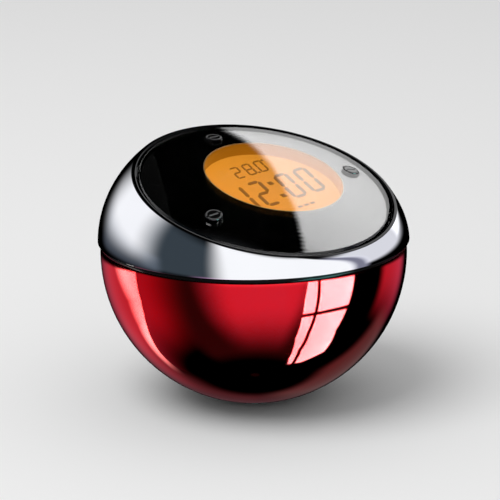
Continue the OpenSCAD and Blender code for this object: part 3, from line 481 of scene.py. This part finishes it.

# %% [markdown]
# The lens is clear, so it would show the walls of its key holes as bright rings. Painted shade keeps them
# dark: a thin black tube just inside the glass, which light that runs sideways in the glass meets before
# it meets the wall. A wider tube paints the lens's rim dark in the same way.
# %% Painted shade: black tubes round the key holes and along the rim
SHADE_TUBE_T = 0.00006
SHADE_TUBE_LOW = 0.0001
SHADE_TUBE_AIR = 0.00002
SHADE_TUBE_INSET = 0.0002
# Black tubes of painted shade, inside the glass round each key hole and along the lens's rim.
shade_tube_bm = bmesh.new()
tubes = [(place, KEY_R + KEY_SLIP + SHADE_TUBE_AIR) for place in KEY_PLACES.values()]
for place, inner in tubes + [((0, 0), LENS_R - LENS_CHAMFER - SHADE_TUBE_INSET)]:
    level = dome_height(math.hypot(*place) or inner)
    tube = turned([(inner, level - LENS_T), (inner, level - SHADE_TUBE_LOW),
                   (inner + SHADE_TUBE_T, level - SHADE_TUBE_LOW), (inner + SHADE_TUBE_T, level - LENS_T)], segments=128)
    top = [v for v in tube.verts if v.co.z > level - LENS_T / 2]
    if any(place):
        drop_onto_dome(top, place, 0)
    bmesh.ops.transform(tube, matrix=face_place(place), verts=tube.verts)
    part = bpy.data.meshes.new("tube")
    tube.to_mesh(part)
    tube.free()
    shade_tube_bm.from_mesh(part)
shade_tubes = to_object("lens_shade_tubes", shade_tube_bm)
smooth(shade_tubes)
settle(shade_tubes, "housing", "mask_black")

# %% [markdown]
# The rubber foot is a plain disc in the CAD model. The real one is moulded: its edge is round and
# a few shallow grooves run round its sole, so that it grips and doesn't stick to a polished table.
# %% The rubber foot
GROOVES = 3
GROOVE_W = 0.0006
GROOVE_D = 0.00025
SOLE_ROUND = 0.0002
sole = [(0, 0)]
for k in range(GROOVES):
    radius = FOOT_R * (0.35 + 0.2 * k)
    sole += [(radius, 0), (radius + GROOVE_W / 4, GROOVE_D), (radius + GROOVE_W * 3 / 4, GROOVE_D),
             (radius + GROOVE_W, 0)]
sole += [(FOOT_R, 0), (FOOT_R, FOOT_PROUD + FOOT_POCKET), (0, FOOT_PROUD + FOOT_POCKET)]
foot_bm = turned([tuple(p) for p in rounded(sole, SOLE_ROUND)], segments=128, closed=False)
foot = to_object("rubber_foot", foot_bm)
smooth(foot)
settle(foot, "housing", "foot_rubber", "foot_pad")

# %% [markdown]
# Every finish has some life in it: a moulded or lacquered skin is never one flat colour. Two small
# node groups serve all materials. One makes a slow and a fine pattern from the piece's own
# coordinates, for colour, roughness and the height of a Bump. The other tells what lies inside a
# round line on the face, for the paint that starts or ends there.
# %% Shared node groups: the grain, and round lines on the face
def new_group(name, inputs, outputs):
    """An empty shader node group with named inputs (numbers or places) and number outputs."""
    group = bpy.data.node_groups.new(name, "ShaderNodeTree")
    for label, value in inputs.items():
        kind = "NodeSocketVector" if isinstance(value, tuple) else "NodeSocketFloat"
        group.interface.new_socket(label, in_out="INPUT", socket_type=kind)
        group.interface.items_tree[label].default_value = value
    for label in outputs:
        group.interface.new_socket(label, in_out="OUTPUT", socket_type="NodeSocketFloat")
    return group, group.nodes.new("NodeGroupInput"), group.nodes.new("NodeGroupOutput")


grain_group, given, given_out = new_group("skin_grain", {"Scale": 400.0}, ("Cloud", "Fine"))
coordinates = grain_group.nodes.new("ShaderNodeTexCoord")
coarser = grain_group.nodes.new("ShaderNodeMath")
coarser.operation, coarser.inputs[1].default_value = "MULTIPLY", 0.12
grain_group.links.new(given.outputs["Scale"], coarser.inputs[0])
for label, source, detail in (("Cloud", coarser.outputs[0], 3), ("Fine", given.outputs["Scale"], 6)):
    noise = grain_group.nodes.new("ShaderNodeTexNoise")
    noise.inputs["Detail"].default_value = detail
    grain_group.links.new(coordinates.outputs["Object"], noise.inputs["Vector"])
    grain_group.links.new(source, noise.inputs["Scale"])
    grain_group.links.new(noise.outputs["Fac"], given_out.inputs[label])

line_group, given, given_out = new_group("face_line", {"Middle": (0.0, 0.0, 0.0), "Radius": 0.01},
                                         ("Inside",))
coordinates = line_group.nodes.new("ShaderNodeTexCoord")
from_middle = line_group.nodes.new("ShaderNodeMapping")
from_middle.vector_type = "TEXTURE"
from_middle.inputs["Rotation"].default_value = (FACE_TILT, 0, 0)
level_out = line_group.nodes.new("ShaderNodeVectorMath")
level_out.operation, level_out.inputs[1].default_value = "MULTIPLY", (1, 1, 0)
reach = line_group.nodes.new("ShaderNodeVectorMath")
reach.operation = "LENGTH"
inside = line_group.nodes.new("ShaderNodeMath")
inside.operation = "LESS_THAN"
for start, end in (
    (coordinates.outputs["Object"], from_middle.inputs["Vector"]),
    (given.outputs["Middle"], from_middle.inputs["Location"]),
    (from_middle.outputs["Vector"], level_out.inputs[0]),
    (level_out.outputs["Vector"], reach.inputs[0]),
    (reach.outputs["Value"], inside.inputs[0]),
    (given.outputs["Radius"], inside.inputs[1]),
    (inside.outputs["Value"], given_out.inputs["Inside"]),
):
    line_group.links.new(start, end)
print("Node groups:", [g.name for g in bpy.data.node_groups])

# %% [markdown]
# One function writes every finish: two near colours mixed by the slow cloud, roughness
# between two values by the fine grain, and the same grain as a bump. Numbers that are the same all
# over a surface, such as the coat, are set on the shader's own sockets.
# %% A function for a finish, and the table of plain finishes
for cad_material in list(bpy.data.materials):
    cad_material.name = "cad_" + cad_material.name


def finish(name, dark, light, metallic, rough, scale, bump, paint=(), **sockets):
    """A procedural material: clouded colour, grained roughness and fine bump, with patches of
    paint (place on the face, radius, colour) laid over it."""
    made = bpy.data.materials.new(name)
    made.use_nodes = True
    nodes, links = made.node_tree.nodes, made.node_tree.links
    shader = nodes["Principled BSDF"]
    shader.inputs["Metallic"].default_value = metallic
    for label, value in sockets.items():
        shader.inputs[label.replace("_", " ")].default_value = value
    grain = nodes.new("ShaderNodeGroup")
    grain.node_tree = grain_group
    grain.inputs["Scale"].default_value = scale
    colour = nodes.new("ShaderNodeMix")
    colour.data_type = "RGBA"
    colour.inputs[6].default_value, colour.inputs[7].default_value = (*dark, 1), (*light, 1)
    links.new(grain.outputs["Cloud"], colour.inputs[0])
    result = colour.outputs[2]
    for place, radius, shade in paint:
        line = nodes.new("ShaderNodeGroup")
        line.node_tree = line_group
        line.inputs["Middle"].default_value = face_place(place).to_translation()
        line.inputs["Radius"].default_value = radius
        over = nodes.new("ShaderNodeMix")
        over.data_type = "RGBA"
        over.inputs[7].default_value = (*shade, 1)
        links.new(line.outputs["Inside"], over.inputs[0])
        links.new(result, over.inputs[6])
        result = over.outputs[2]
    links.new(result, shader.inputs["Base Color"])
    spread = nodes.new("ShaderNodeMapRange")
    spread.inputs["To Min"].default_value, spread.inputs["To Max"].default_value = rough
    links.new(grain.outputs["Fine"], spread.inputs["Value"])
    links.new(spread.outputs["Result"], shader.inputs["Roughness"])
    raised = nodes.new("ShaderNodeBump")
    raised.inputs["Strength"].default_value = 0.4
    raised.inputs["Distance"].default_value = bump
    links.new(grain.outputs["Fine"], raised.inputs["Height"])
    links.new(raised.outputs["Normal"], shader.inputs["Normal"])
    return made


def grey(low, high=None):
    """Two near greys."""
    return (low,) * 3, (high or low * 1.2,) * 3


PLAIN = {
    "tape": (*grey(0.5, 0.6), 0, (0.6, 0.8), 3000, 5e-6),
    "plunger_grey": (*grey(0.05, 0.07), 0, (0.5, 0.6), 2500, 1e-6),
    "switch_black": (*grey(0.02, 0.03), 0, (0.4, 0.6), 2000, 3e-6),
    "frame_white": (*grey(0.6, 0.68), 0, (0.4, 0.55), 1500, 3e-6),
    "contact_grey": (*grey(0.12, 0.2), 0, (0.6, 0.8), 3000, 5e-6),
    "resin_black": (*grey(0.012, 0.02), 0, (0.2, 0.35), 900, 6e-6),
    "can_silver": (*grey(0.6, 0.7), 1, (0.2, 0.35), 2500, 1e-6),
    "capacitor_blue": ((0.01, 0.02, 0.12), (0.015, 0.03, 0.16), 0, (0.3, 0.45), 1500, 2e-6),
    "screw_steel": (*grey(0.5, 0.62), 1, (0.22, 0.4), 2500, 1e-6),
    "chassis_black": (*grey(0.015, 0.025), 0, (0.4, 0.6), 1800, 4e-6),
    "basket_steel": (*grey(0.55, 0.65), 1, (0.3, 0.45), 1500, 2e-6),
    "cone_black": (*grey(0.012, 0.02), 0, (0.7, 0.9), 4000, 1e-5),
    "magnet_grey": (*grey(0.1, 0.14), 0, (0.5, 0.7), 1200, 6e-6),
    "tray_red": ((0.35, 0.002, 0.012), (0.4, 0.004, 0.016), 0, (0.35, 0.5), 1500, 4e-6),
    "contact_nickel": ((0.62, 0.6, 0.54), (0.7, 0.68, 0.62), 1, (0.18, 0.3), 2500, 1e-6),
    "pin_steel": (*grey(0.55, 0.65), 1, (0.2, 0.3), 2500, 1e-6),
    "foot_rubber": (*grey(0.016, 0.026), 0, (0.7, 0.9), 2500, 8e-6),
    "ballast_steel": (*grey(0.3, 0.4), 1, (0.4, 0.6), 800, 8e-6),
    "lead_red": ((0.4, 0.01, 0.01), (0.45, 0.015, 0.012), 0, (0.4, 0.5), 1500, 2e-6),
    "lead_black": (*grey(0.012, 0.018), 0, (0.4, 0.5), 1500, 2e-6),
    "board_green": ((0.008, 0.09, 0.02), (0.012, 0.12, 0.03), 0, (0.3, 0.45), 1200, 3e-6),
    "cell_wrap": ((0.55, 0.33, 0.04), (0.62, 0.38, 0.05), 0, (0.25, 0.35), 900, 2e-6),
    "led_yellow": ((0.8, 0.6, 0.1), (0.9, 0.7, 0.15), 0, (0.3, 0.4), 2000, 1e-6),
}
finishes = {name: finish(name, *values) for name, values in PLAIN.items()}
print(len(finishes), "plain finishes")

# %% [markdown]
# The bowl wears a candy lacquer: red that is seen through a clear coat over bright metal. So its
# base is a red metal with a close, slightly spread reflection, and the clear coat adds a sharp,
# pale one on top. A very faint bump stands for the orange peel of a sprayed coat.
# The ring's lip is painted black round the lens, and a thin cream line runs round the window.
# %% The lacquer, the chrome, the dark band and the mask
LIP_PAINT_R = LIP_R + 0.00015
CREAM_LINE_R = WINDOW_R + 0.0003
KEY_PAINT_R = KEY_R + 0.0004
red = finish("red_gloss", (0.6, 0.0006, 0.003), (0.64, 0.0008, 0.004), 1.0, (0.035, 0.05), 260,
             2e-7, Coat_Weight=0.3, Coat_Roughness=0.006, Coat_IOR=1.5)
BLACK = (0.004, 0.004, 0.005)
chrome = finish("chrome", (0.78, 0.79, 0.81), (0.82, 0.83, 0.85), 1.0, (0.015, 0.03), 500, 1e-7,
                paint=[((0, 0), LIP_PAINT_R, BLACK)])
trim = finish("trim", *grey(0.004, 0.006), 0, (0.1, 0.14), 500, 1e-7, Specular_IOR_Level=0.05)
mask_black = finish("mask_black", *grey(0.002, 0.003), 0, (0.002, 0.004), 300, 2e-9, IOR=1.8,
                    paint=[(WINDOW_PLACE, CREAM_LINE_R, (0.8, 0.62, 0.34))]
                    + [(place, KEY_PAINT_R, BLACK) for place in KEY_PLACES.values()])
key_black = finish("key_black", *grey(0.002, 0.004), 0, (0.03, 0.06), 700, 2e-8, IOR=1.8)
finishes |= {made.name: made for made in (red, chrome, trim, mask_black, key_black)}

# %% [markdown]
# The lens is acrylic. A plain Transmission Weight and a low roughness make it glass to the
# renderer. Fine wipe marks change its roughness a little, which only shows in the glare.
# The walls of its key holes are painted black, as painted shade, so no light shines out of them.
# %% The clear lens
clear = finish("lens_clear", (0.98,) * 3, (1.0,) * 3, 0, (0.0, 0.001), 300, 1e-9,
               paint=[(place, inner, (0, 0, 0)) for place, inner in tubes],
               Transmission_Weight=1.0, IOR=1.49)
finishes["lens_clear"] = clear

# %% [markdown]
# The display is lit from behind: a frosted guide glows amber through both glasses, brighter at the
# side of its lamps, and the figures hold most of that light back. Light that a surface gives off
# is Emission. Its colours are chosen for how they look through the lens.
# %% What glows: the display, its figures, and its well with painted light
def glow(name, shades, axis, low, high, scale=600, rough=(0.3, 0.4), base=0.05):
    """A finish that gives off light, running through colours along one of the piece's axes."""
    made = finish(name, tuple(c * base for c in shades[0]), tuple(c * base for c in shades[-1]), 0,
                  rough, scale, 1e-6, Specular_IOR_Level=0.15)
    nodes, links = made.node_tree.nodes, made.node_tree.links
    shader = nodes["Principled BSDF"]
    place = nodes.new("ShaderNodeTexCoord")
    split = nodes.new("ShaderNodeSeparateXYZ")
    span = nodes.new("ShaderNodeMapRange")
    span.inputs["From Min"].default_value, span.inputs["From Max"].default_value = low, high
    ramp = nodes.new("ShaderNodeValToRGB")
    for k, shade in enumerate(shades):
        share = k / (len(shades) - 1)
        point = ramp.color_ramp.elements[0] if k == 0 else (
            ramp.color_ramp.elements[-1] if share == 1 else ramp.color_ramp.elements.new(share))
        point.color = (*shade, 1)
    links.new(place.outputs["Object"], split.inputs[0])
    links.new(split.outputs[axis], span.inputs["Value"])
    links.new(span.outputs["Result"], ramp.inputs["Fac"])
    links.new(ramp.outputs["Color"], shader.inputs["Emission Color"])
    shader.inputs["Emission Strength"].default_value = 1.0
    return made


AMBER = [(0.94, 0.34, 0.028), (0.88, 0.33, 0.03), (0.72, 0.29, 0.025)]
SPAN = (WINDOW_PLACE[0] - WINDOW_R, WINDOW_PLACE[0] + WINDOW_R)
for slot in ("lcd_glass", "lcd_amber", "guide_amber"):
    finishes[slot] = glow(slot, AMBER, "X", *SPAN)
finishes["lcd_ink"] = glow("lcd_ink", [(0.38, 0.12, 0.004), (0.2, 0.08, 0.01)], "X", *SPAN)
# The well is no lamp: its glow is painted light, standing in for the light that the lens keeps from it.
finishes["well_gold"] = glow("well_gold", [(0.24, 0.1, 0.004), (0.34, 0.13, 0.006)], "X", *SPAN,
                             base=1.0)

# %% [markdown]
# Each CAD node that still shows keeps its mesh and takes the finish of its own slot. The new
# pieces take theirs from the slot that they were given.
# %% Hand out the finishes
for node_object in frame["nodes"].values():
    for holder in node_object.material_slots:
        holder.material = finishes[holder.material.name.removeprefix("cad_")]
for made in list(bpy.context.scene.objects):
    if made.get("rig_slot"):
        made.data.materials.clear()
        made.data.materials.append(finishes[made["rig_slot"]])
print("Finishes in use:", len(finishes))

# %% [markdown]
# The studio is a plain pale floor under soft light. Polished things show their surroundings, so
# the studio also has cards, as a photographer sets round chrome. All cards lie on one large ball
# round the clock: a fine grid whose points know how brightly they glow. A card runs from one
# azimuth and elevation to another and has soft edges, and where two meet their light adds up.
# Only reflections see the ball. Azimuth 0 is where the camera stands, and grows to its right.
# %% The camera's direction and how a card glows
CAMERA_AZIMUTH = math.radians(32.782)
CAMERA_ELEVATION = math.radians(15.275)
CAMERA_DISTANCE = 0.6643
CARD_RADIUS = 3.0


def direction(azimuth, elevation):
    """Unit vector to an azimuth (from the camera's, to its right) and elevation, in degrees."""
    a, e = math.radians(azimuth) - CAMERA_AZIMUTH, math.radians(elevation)
    return Vector((math.sin(a) * math.cos(e), -math.cos(a) * math.cos(e), math.sin(e)))


def ease(x):
    """0 to 1 with soft ends."""
    x = np.clip(x, 0, 1)
    return x * x * (3 - 2 * x)


def along(place, edge):
    """Where a card's edge runs at some places: one number, or a list of (place, edge) pairs."""
    return np.interp(place, *zip(*edge)) if isinstance(edge, list) else edge


def card(azimuth, elevation, spans, fade, colour):
    """The light of a card at some places: spans are its left, right, low and high edge, and fade
    the soft width at each."""
    left, right = along(elevation, spans[0]), along(elevation, spans[1])
    low, high = spans[2], along(azimuth, spans[3])
    level = (ease((azimuth - left) / fade[0]) * ease((right - azimuth) / fade[1])
             * ease((elevation - low) / fade[2]) * ease((high - elevation) / fade[3]))
    return np.outer(level, colour)


# %% [markdown]
# The cards that the chrome shows lie above the seam's own line, and those that the bowl shows
# below it. A lacquered bowl gives each light twice: the metal under the lacquer reddens it, and the clear
# coat passes on a little of all colours. So the low cards are reddish, for a deep red, and only a
# light as strong as daylight through a window looks white. Two bars divide the window.
# %% The cards and the window
STRIP_EDGE = [(-52, -134), (-47, -126), (-43, -117), (-38, -108), (-32, -101), (-26, -97.5),
              (-9, -96)]
SEAM_LINE = [(-180, -15.1), (-150, -14.6), (-120, -13.5), (-90, -11.3), (-50, -9.8), (0, -9),
             (50, -9.8), (90, -11.3), (120, -12.8), (150, -14), (180, -15.1)]
CARDS = {
    "left": ((-160, -68, -10, 66), (34, 34, 22, 14), (1.12, 1.12, 1.15)),
    "bluish": ((-94, -22, -12, 60), (14, 14, 6, 20), (0.045, 0.06, 0.075)),
    "front": ((-36, 81, -13, 70), (20, 10, 6, 12), (1.16, 1.16, 1.18)),
    "beside_front": ((70, 94, -12, 60), (8, 8, 6, 12), (0.24, 0.24, 0.32)),
    "right": ((84, 150, -4, 60), (8, 26, 10, 12), (0.84, 0.84, 0.9)),
    "sky": ((-400, 400, 66, 95), (1, 1, 8, 1), (0.33, 0.35, 0.38)),
    "low_left": ((-150, -66, -13, 10), (18, 10, 4, 8), (0.06, 0.07, 0.09)),
    "low_front": (([(-60, -34), (-38, -44), (-13, -50)], [(-46, 42), (-12, 50)], -68, -7),
                  (34, 18, 44, 3), (1.0, 0.5, 0.95)),
    "low_side": (([(e, a - 2) for e, a in STRIP_EDGE], -50, -60, SEAM_LINE), (4, 44, 30, 1),
                 (0.6, 0.1, 0.22)),
    "left_wide": ((-172, STRIP_EDGE, -54, SEAM_LINE), (40, 2, 20, 1), (0.78, 0.15, 0.24)),
    "left_strip": (([(-48, -146), (-35, -124), (-26, -119), (-12, -130)], STRIP_EDGE, -54, SEAM_LINE),
                   (20, 1.5, 16, 1), (7.0, 7.0, 6.6)),
    "low_right": ((106, 156, -36, SEAM_LINE), (10, 20, 22, 1), (0.75, 0.12, 0.24)),
    "right_rim": ((118, 180, -64, -26), (16, 14, 12, 8), (0.15, 0.12, 0.12)),
    "rear_rim": ((168, 232, -64, -24), (14, 20, 14, 8), (0.1, 0.05, 0.06)),
    "fill": ((-75, 70, -74, SEAM_LINE), (24, 30, 12, 1), (0.04, 0.04, 0.04)),
}
PANE_LEFT = [(-73, 66), (-69, 55), (-61, 47), (-52, 41), (-37, 39), (-23, 38), (-11, 39)]
PANE_RIGHT = [(-73, 68), (-72, 73), (-68, 83), (-64, 86), (-57, 92), (-44, 80), (-33, 79), (-11, 79)]
UPRIGHT_BAR = [(-72, 76), (-67, 65), (-61, 57), (-47, 51.5), (-33, 50), (-11, 48.2)]
CROSS_BAR = [(38, -34.8), (50, -33.4), (80, -29.6)]
BAR_HALF, BAR_FADE = 1.0, 0.6
PANE_COLOUR = (0.3, 1, 0.95)
GLARE_EDGE = [(-10, 182), (18, 179), (24, 176), (32, 172), (40, 167), (46, 162), (52, 155),
              (56, 149), (60, 141), (64, 131), (68, 115)]


def window(azimuth, elevation):
    """The light of the window: its panes are palest on top, and two bars stand before them."""
    level = 16 + 12 * ease((elevation + 75) / 55)
    level *= ease((azimuth - along(elevation, PANE_LEFT)) / 0.8)
    level *= ease((along(elevation, PANE_RIGHT) - azimuth) / 1.5)
    level *= ease((elevation + 74) / 3) * ease((along(azimuth, SEAM_LINE) - 0.7 - elevation) / 0.8)
    beside = abs(azimuth - along(elevation, UPRIGHT_BAR)) * np.cos(np.radians(elevation))
    level *= ease((beside - BAR_HALF) / BAR_FADE)
    level *= ease((abs(elevation - along(azimuth, CROSS_BAR)) - BAR_HALF) / BAR_FADE)
    return np.outer(level, PANE_COLOUR)


def glare(azimuth, elevation):
    """The light of the patch that makes the pale glare on the lens."""
    level = 0.9 + 1.5 * ease((elevation - 8) / 40)
    level *= ease((along(elevation, GLARE_EDGE) - azimuth) / 0.9) * ease((azimuth - 126) / 8)
    level *= ease((elevation - 4) / 6) * ease((68 - elevation) / 12)
    return np.outer(level, (1, 1, 1))


# %% [markdown]
# One more patch of light makes the pale glare on the lens. It stands behind the clock, and its
# far edge is a long curve. Glass reflects less where it is seen less flatly, so the patch gets
# stronger as it rises. Light that comes up from the black mask under the lens has passed through
# glass, and only this patch is shown to it, on a second piece of ball, so the keys' holes and the
# lens's rim stay dark. Floor and other matt things never get the cards' light, not even by way of
# the bowl, so no red spots fall on the floor.
# %% The ball of cards
card_light = bpy.data.materials.new("card_light")
card_light.use_nodes = True
card_nodes, card_links = card_light.node_tree.nodes, card_light.node_tree.links
card_nodes.clear()
card_out = card_nodes.new("ShaderNodeOutputMaterial")
card_glow = card_nodes.new("ShaderNodeEmission")
card_shade = card_nodes.new("ShaderNodeVertexColor")
card_shade.layer_name = "shade"
card_path = card_nodes.new("ShaderNodeLightPath")
card_clean = card_nodes.new("ShaderNodeMath")
card_clean.operation, card_clean.inputs[1].default_value = "LESS_THAN", 0.5
card_links.new(card_path.outputs["Diffuse Depth"], card_clean.inputs[0])
card_links.new(card_clean.outputs["Value"], card_glow.inputs["Strength"])
card_links.new(card_shade.outputs["Color"], card_glow.inputs["Color"])
card_links.new(card_glow.outputs[0], card_out.inputs["Surface"])


def grid_lines(*spans):
    """Places of grid lines: pairs of a start and the step from there on, and at last the end."""
    stops = [start for start, step in spans[:-1]] + [spans[-1]]
    made = [np.arange(start, stop, step) for (start, step), stop in zip(spans, stops[1:])]
    return np.append(np.concatenate(made), spans[-1])


def ball_patch(name, azimuths, elevations, *lights):
    """A part of the ball round the clock whose points glow with the sum of some lights."""
    bm = bmesh.new()
    bmesh.ops.create_grid(bm, x_segments=len(azimuths) - 1, y_segments=len(elevations) - 1, size=1)
    made = to_object(name, bm)
    grid = np.zeros(len(made.data.vertices) * 3)
    made.data.vertices.foreach_get("co", grid)
    grid = (grid.reshape(-1, 3) + 1) / 2
    azimuth = np.interp(grid[:, 0] * (len(azimuths) - 1), range(len(azimuths)), azimuths)
    elevation = np.interp(grid[:, 1] * (len(elevations) - 1), range(len(elevations)), elevations)
    total = sum(light(azimuth, elevation) for light in lights)
    shade = made.data.color_attributes.new("shade", "FLOAT_COLOR", "POINT")
    shade.data.foreach_set("color", np.column_stack([total, np.ones(len(total))]).ravel())
    a, e = np.radians(azimuth) - CAMERA_AZIMUTH, np.radians(elevation)
    place = np.column_stack([np.sin(a) * np.cos(e), -np.cos(a) * np.cos(e), np.sin(e)])
    place = place * CARD_RADIUS + np.array(BALL.to_translation())
    made.data.vertices.foreach_set("co", place.ravel())
    made.data.update()
    made.data.materials.append(card_light)
    made.visible_camera = made.visible_diffuse = made.visible_shadow = False
    made.visible_volume_scatter = False
    print(name, len(made.data.polygons), "faces, brightest", total.max())
    return made


def all_cards(azimuth, elevation):
    """The light of all cards, seen round the whole circle."""
    return sum(card(azimuth + turn, elevation, *values)
               for values in CARDS.values() for turn in (0, 360))


studio = ball_patch("studio_cards",
                    grid_lines((-180, 2), (-135, 0.8), (-90, 2), (34, 0.4), (96, 2), (126, 0.45),
                               180),
                    grid_lines((-88, 3), (-76, 0.5), (-9, 1.5), (4, 0.9), (68, 2), 89),
                    all_cards, window, glare)
studio.visible_transmission = False
through_glass = ball_patch("glare_card", grid_lines((120, 0.45), 186), grid_lines((0, 0.9), 72), glare)
through_glass.visible_glossy = False

# %% [markdown]
# The floor is a large pale disc that takes the clock's shadow. Reflections don't see it, because
# the cards stand in for it. The world is pale to the eye and to matt things and dark to polished
# ones, and one wide lamp from the upper left gives the shadow its direction.
# %% Floor, world and lamp
FLOOR_RADIUS = 12
WORLD_TO_EYE, WORLD_TO_POLISH = 0.6, 0.012
LAMP_WATTS, LAMP_SIZE, LAMP_DISTANCE = 12, 1.2, 1.6
LAMP_AZIMUTH, LAMP_ELEVATION = -50, 60
floor_bm = bmesh.new()
bmesh.ops.create_circle(floor_bm, cap_ends=True, segments=96, radius=FLOOR_RADIUS)
floor = to_object("floor", floor_bm)
floor.visible_glossy = False
paper = bpy.data.materials.new("floor_paper")
paper.use_nodes = True
paper_shader = paper.node_tree.nodes["Principled BSDF"]
paper_shader.inputs["Base Color"].default_value = (0.88, 0.88, 0.88, 1)
paper_shader.inputs["Roughness"].default_value = 0.9
paper_shader.inputs["Specular IOR Level"].default_value = 0.0
floor.data.materials.append(paper)

world = bpy.data.worlds.new("studio")
bpy.context.scene.world = world
world.use_nodes = True
world_nodes, world_links = world.node_tree.nodes, world.node_tree.links
background = world_nodes["Background"]
light_path = world_nodes.new("ShaderNodeLightPath")
seen_in = world_nodes.new("ShaderNodeMath")
seen_in.operation = "MAXIMUM"
level = world_nodes.new("ShaderNodeMapRange")
level.inputs["To Min"].default_value = WORLD_TO_EYE
level.inputs["To Max"].default_value = WORLD_TO_POLISH
world_links.new(light_path.outputs["Is Glossy Ray"], seen_in.inputs[0])
world_links.new(light_path.outputs["Is Transmission Ray"], seen_in.inputs[1])
world_links.new(seen_in.outputs["Value"], level.inputs["Value"])
world_links.new(level.outputs["Result"], background.inputs["Strength"])
background.inputs["Color"].default_value = (1, 1, 1, 1)

lamp_data = bpy.data.lights.new("soft_lamp", "AREA")
lamp_data.shape, lamp_data.size, lamp_data.energy = "DISK", LAMP_SIZE, LAMP_WATTS
lamp = bpy.data.objects.new("soft_lamp", lamp_data)
bpy.context.scene.collection.objects.link(lamp)
lamp.location = direction(LAMP_AZIMUTH, LAMP_ELEVATION) * LAMP_DISTANCE
lamp.rotation_mode = "QUATERNION"
lamp.rotation_quaternion = lamp.location.to_track_quat("Z", "Y")
lamp.visible_glossy = False

# %% [markdown]
# The camera stands in front, a little above the clock. Its place was fitted to the outline, the
# seam and the lens's edge in the photograph: a long lens, rolled by a little over half a degree.
# %% The camera
FOCAL, SENSOR = 162.61, 36
SHIFT = (-0.0074, 0.0002)
CAMERA_ROLL = math.radians(-0.626)
camera_data = bpy.data.cameras.new("camera")
camera_data.lens, camera_data.sensor_width = FOCAL, SENSOR
camera_data.shift_x, camera_data.shift_y = SHIFT
camera = bpy.data.objects.new("camera", camera_data)
bpy.context.scene.collection.objects.link(camera)
bpy.context.scene.camera = camera
back = direction(0, math.degrees(CAMERA_ELEVATION))
camera.location = BALL.to_translation() + back * CAMERA_DISTANCE
camera.rotation_mode = "QUATERNION"
camera.rotation_quaternion = (-back).to_track_quat("-Z", "Y") @ Matrix.Rotation(
    CAMERA_ROLL, 3, "Z").to_quaternion()
bpy.context.scene.view_settings.view_transform = "Standard"
print("Camera at", camera.location)
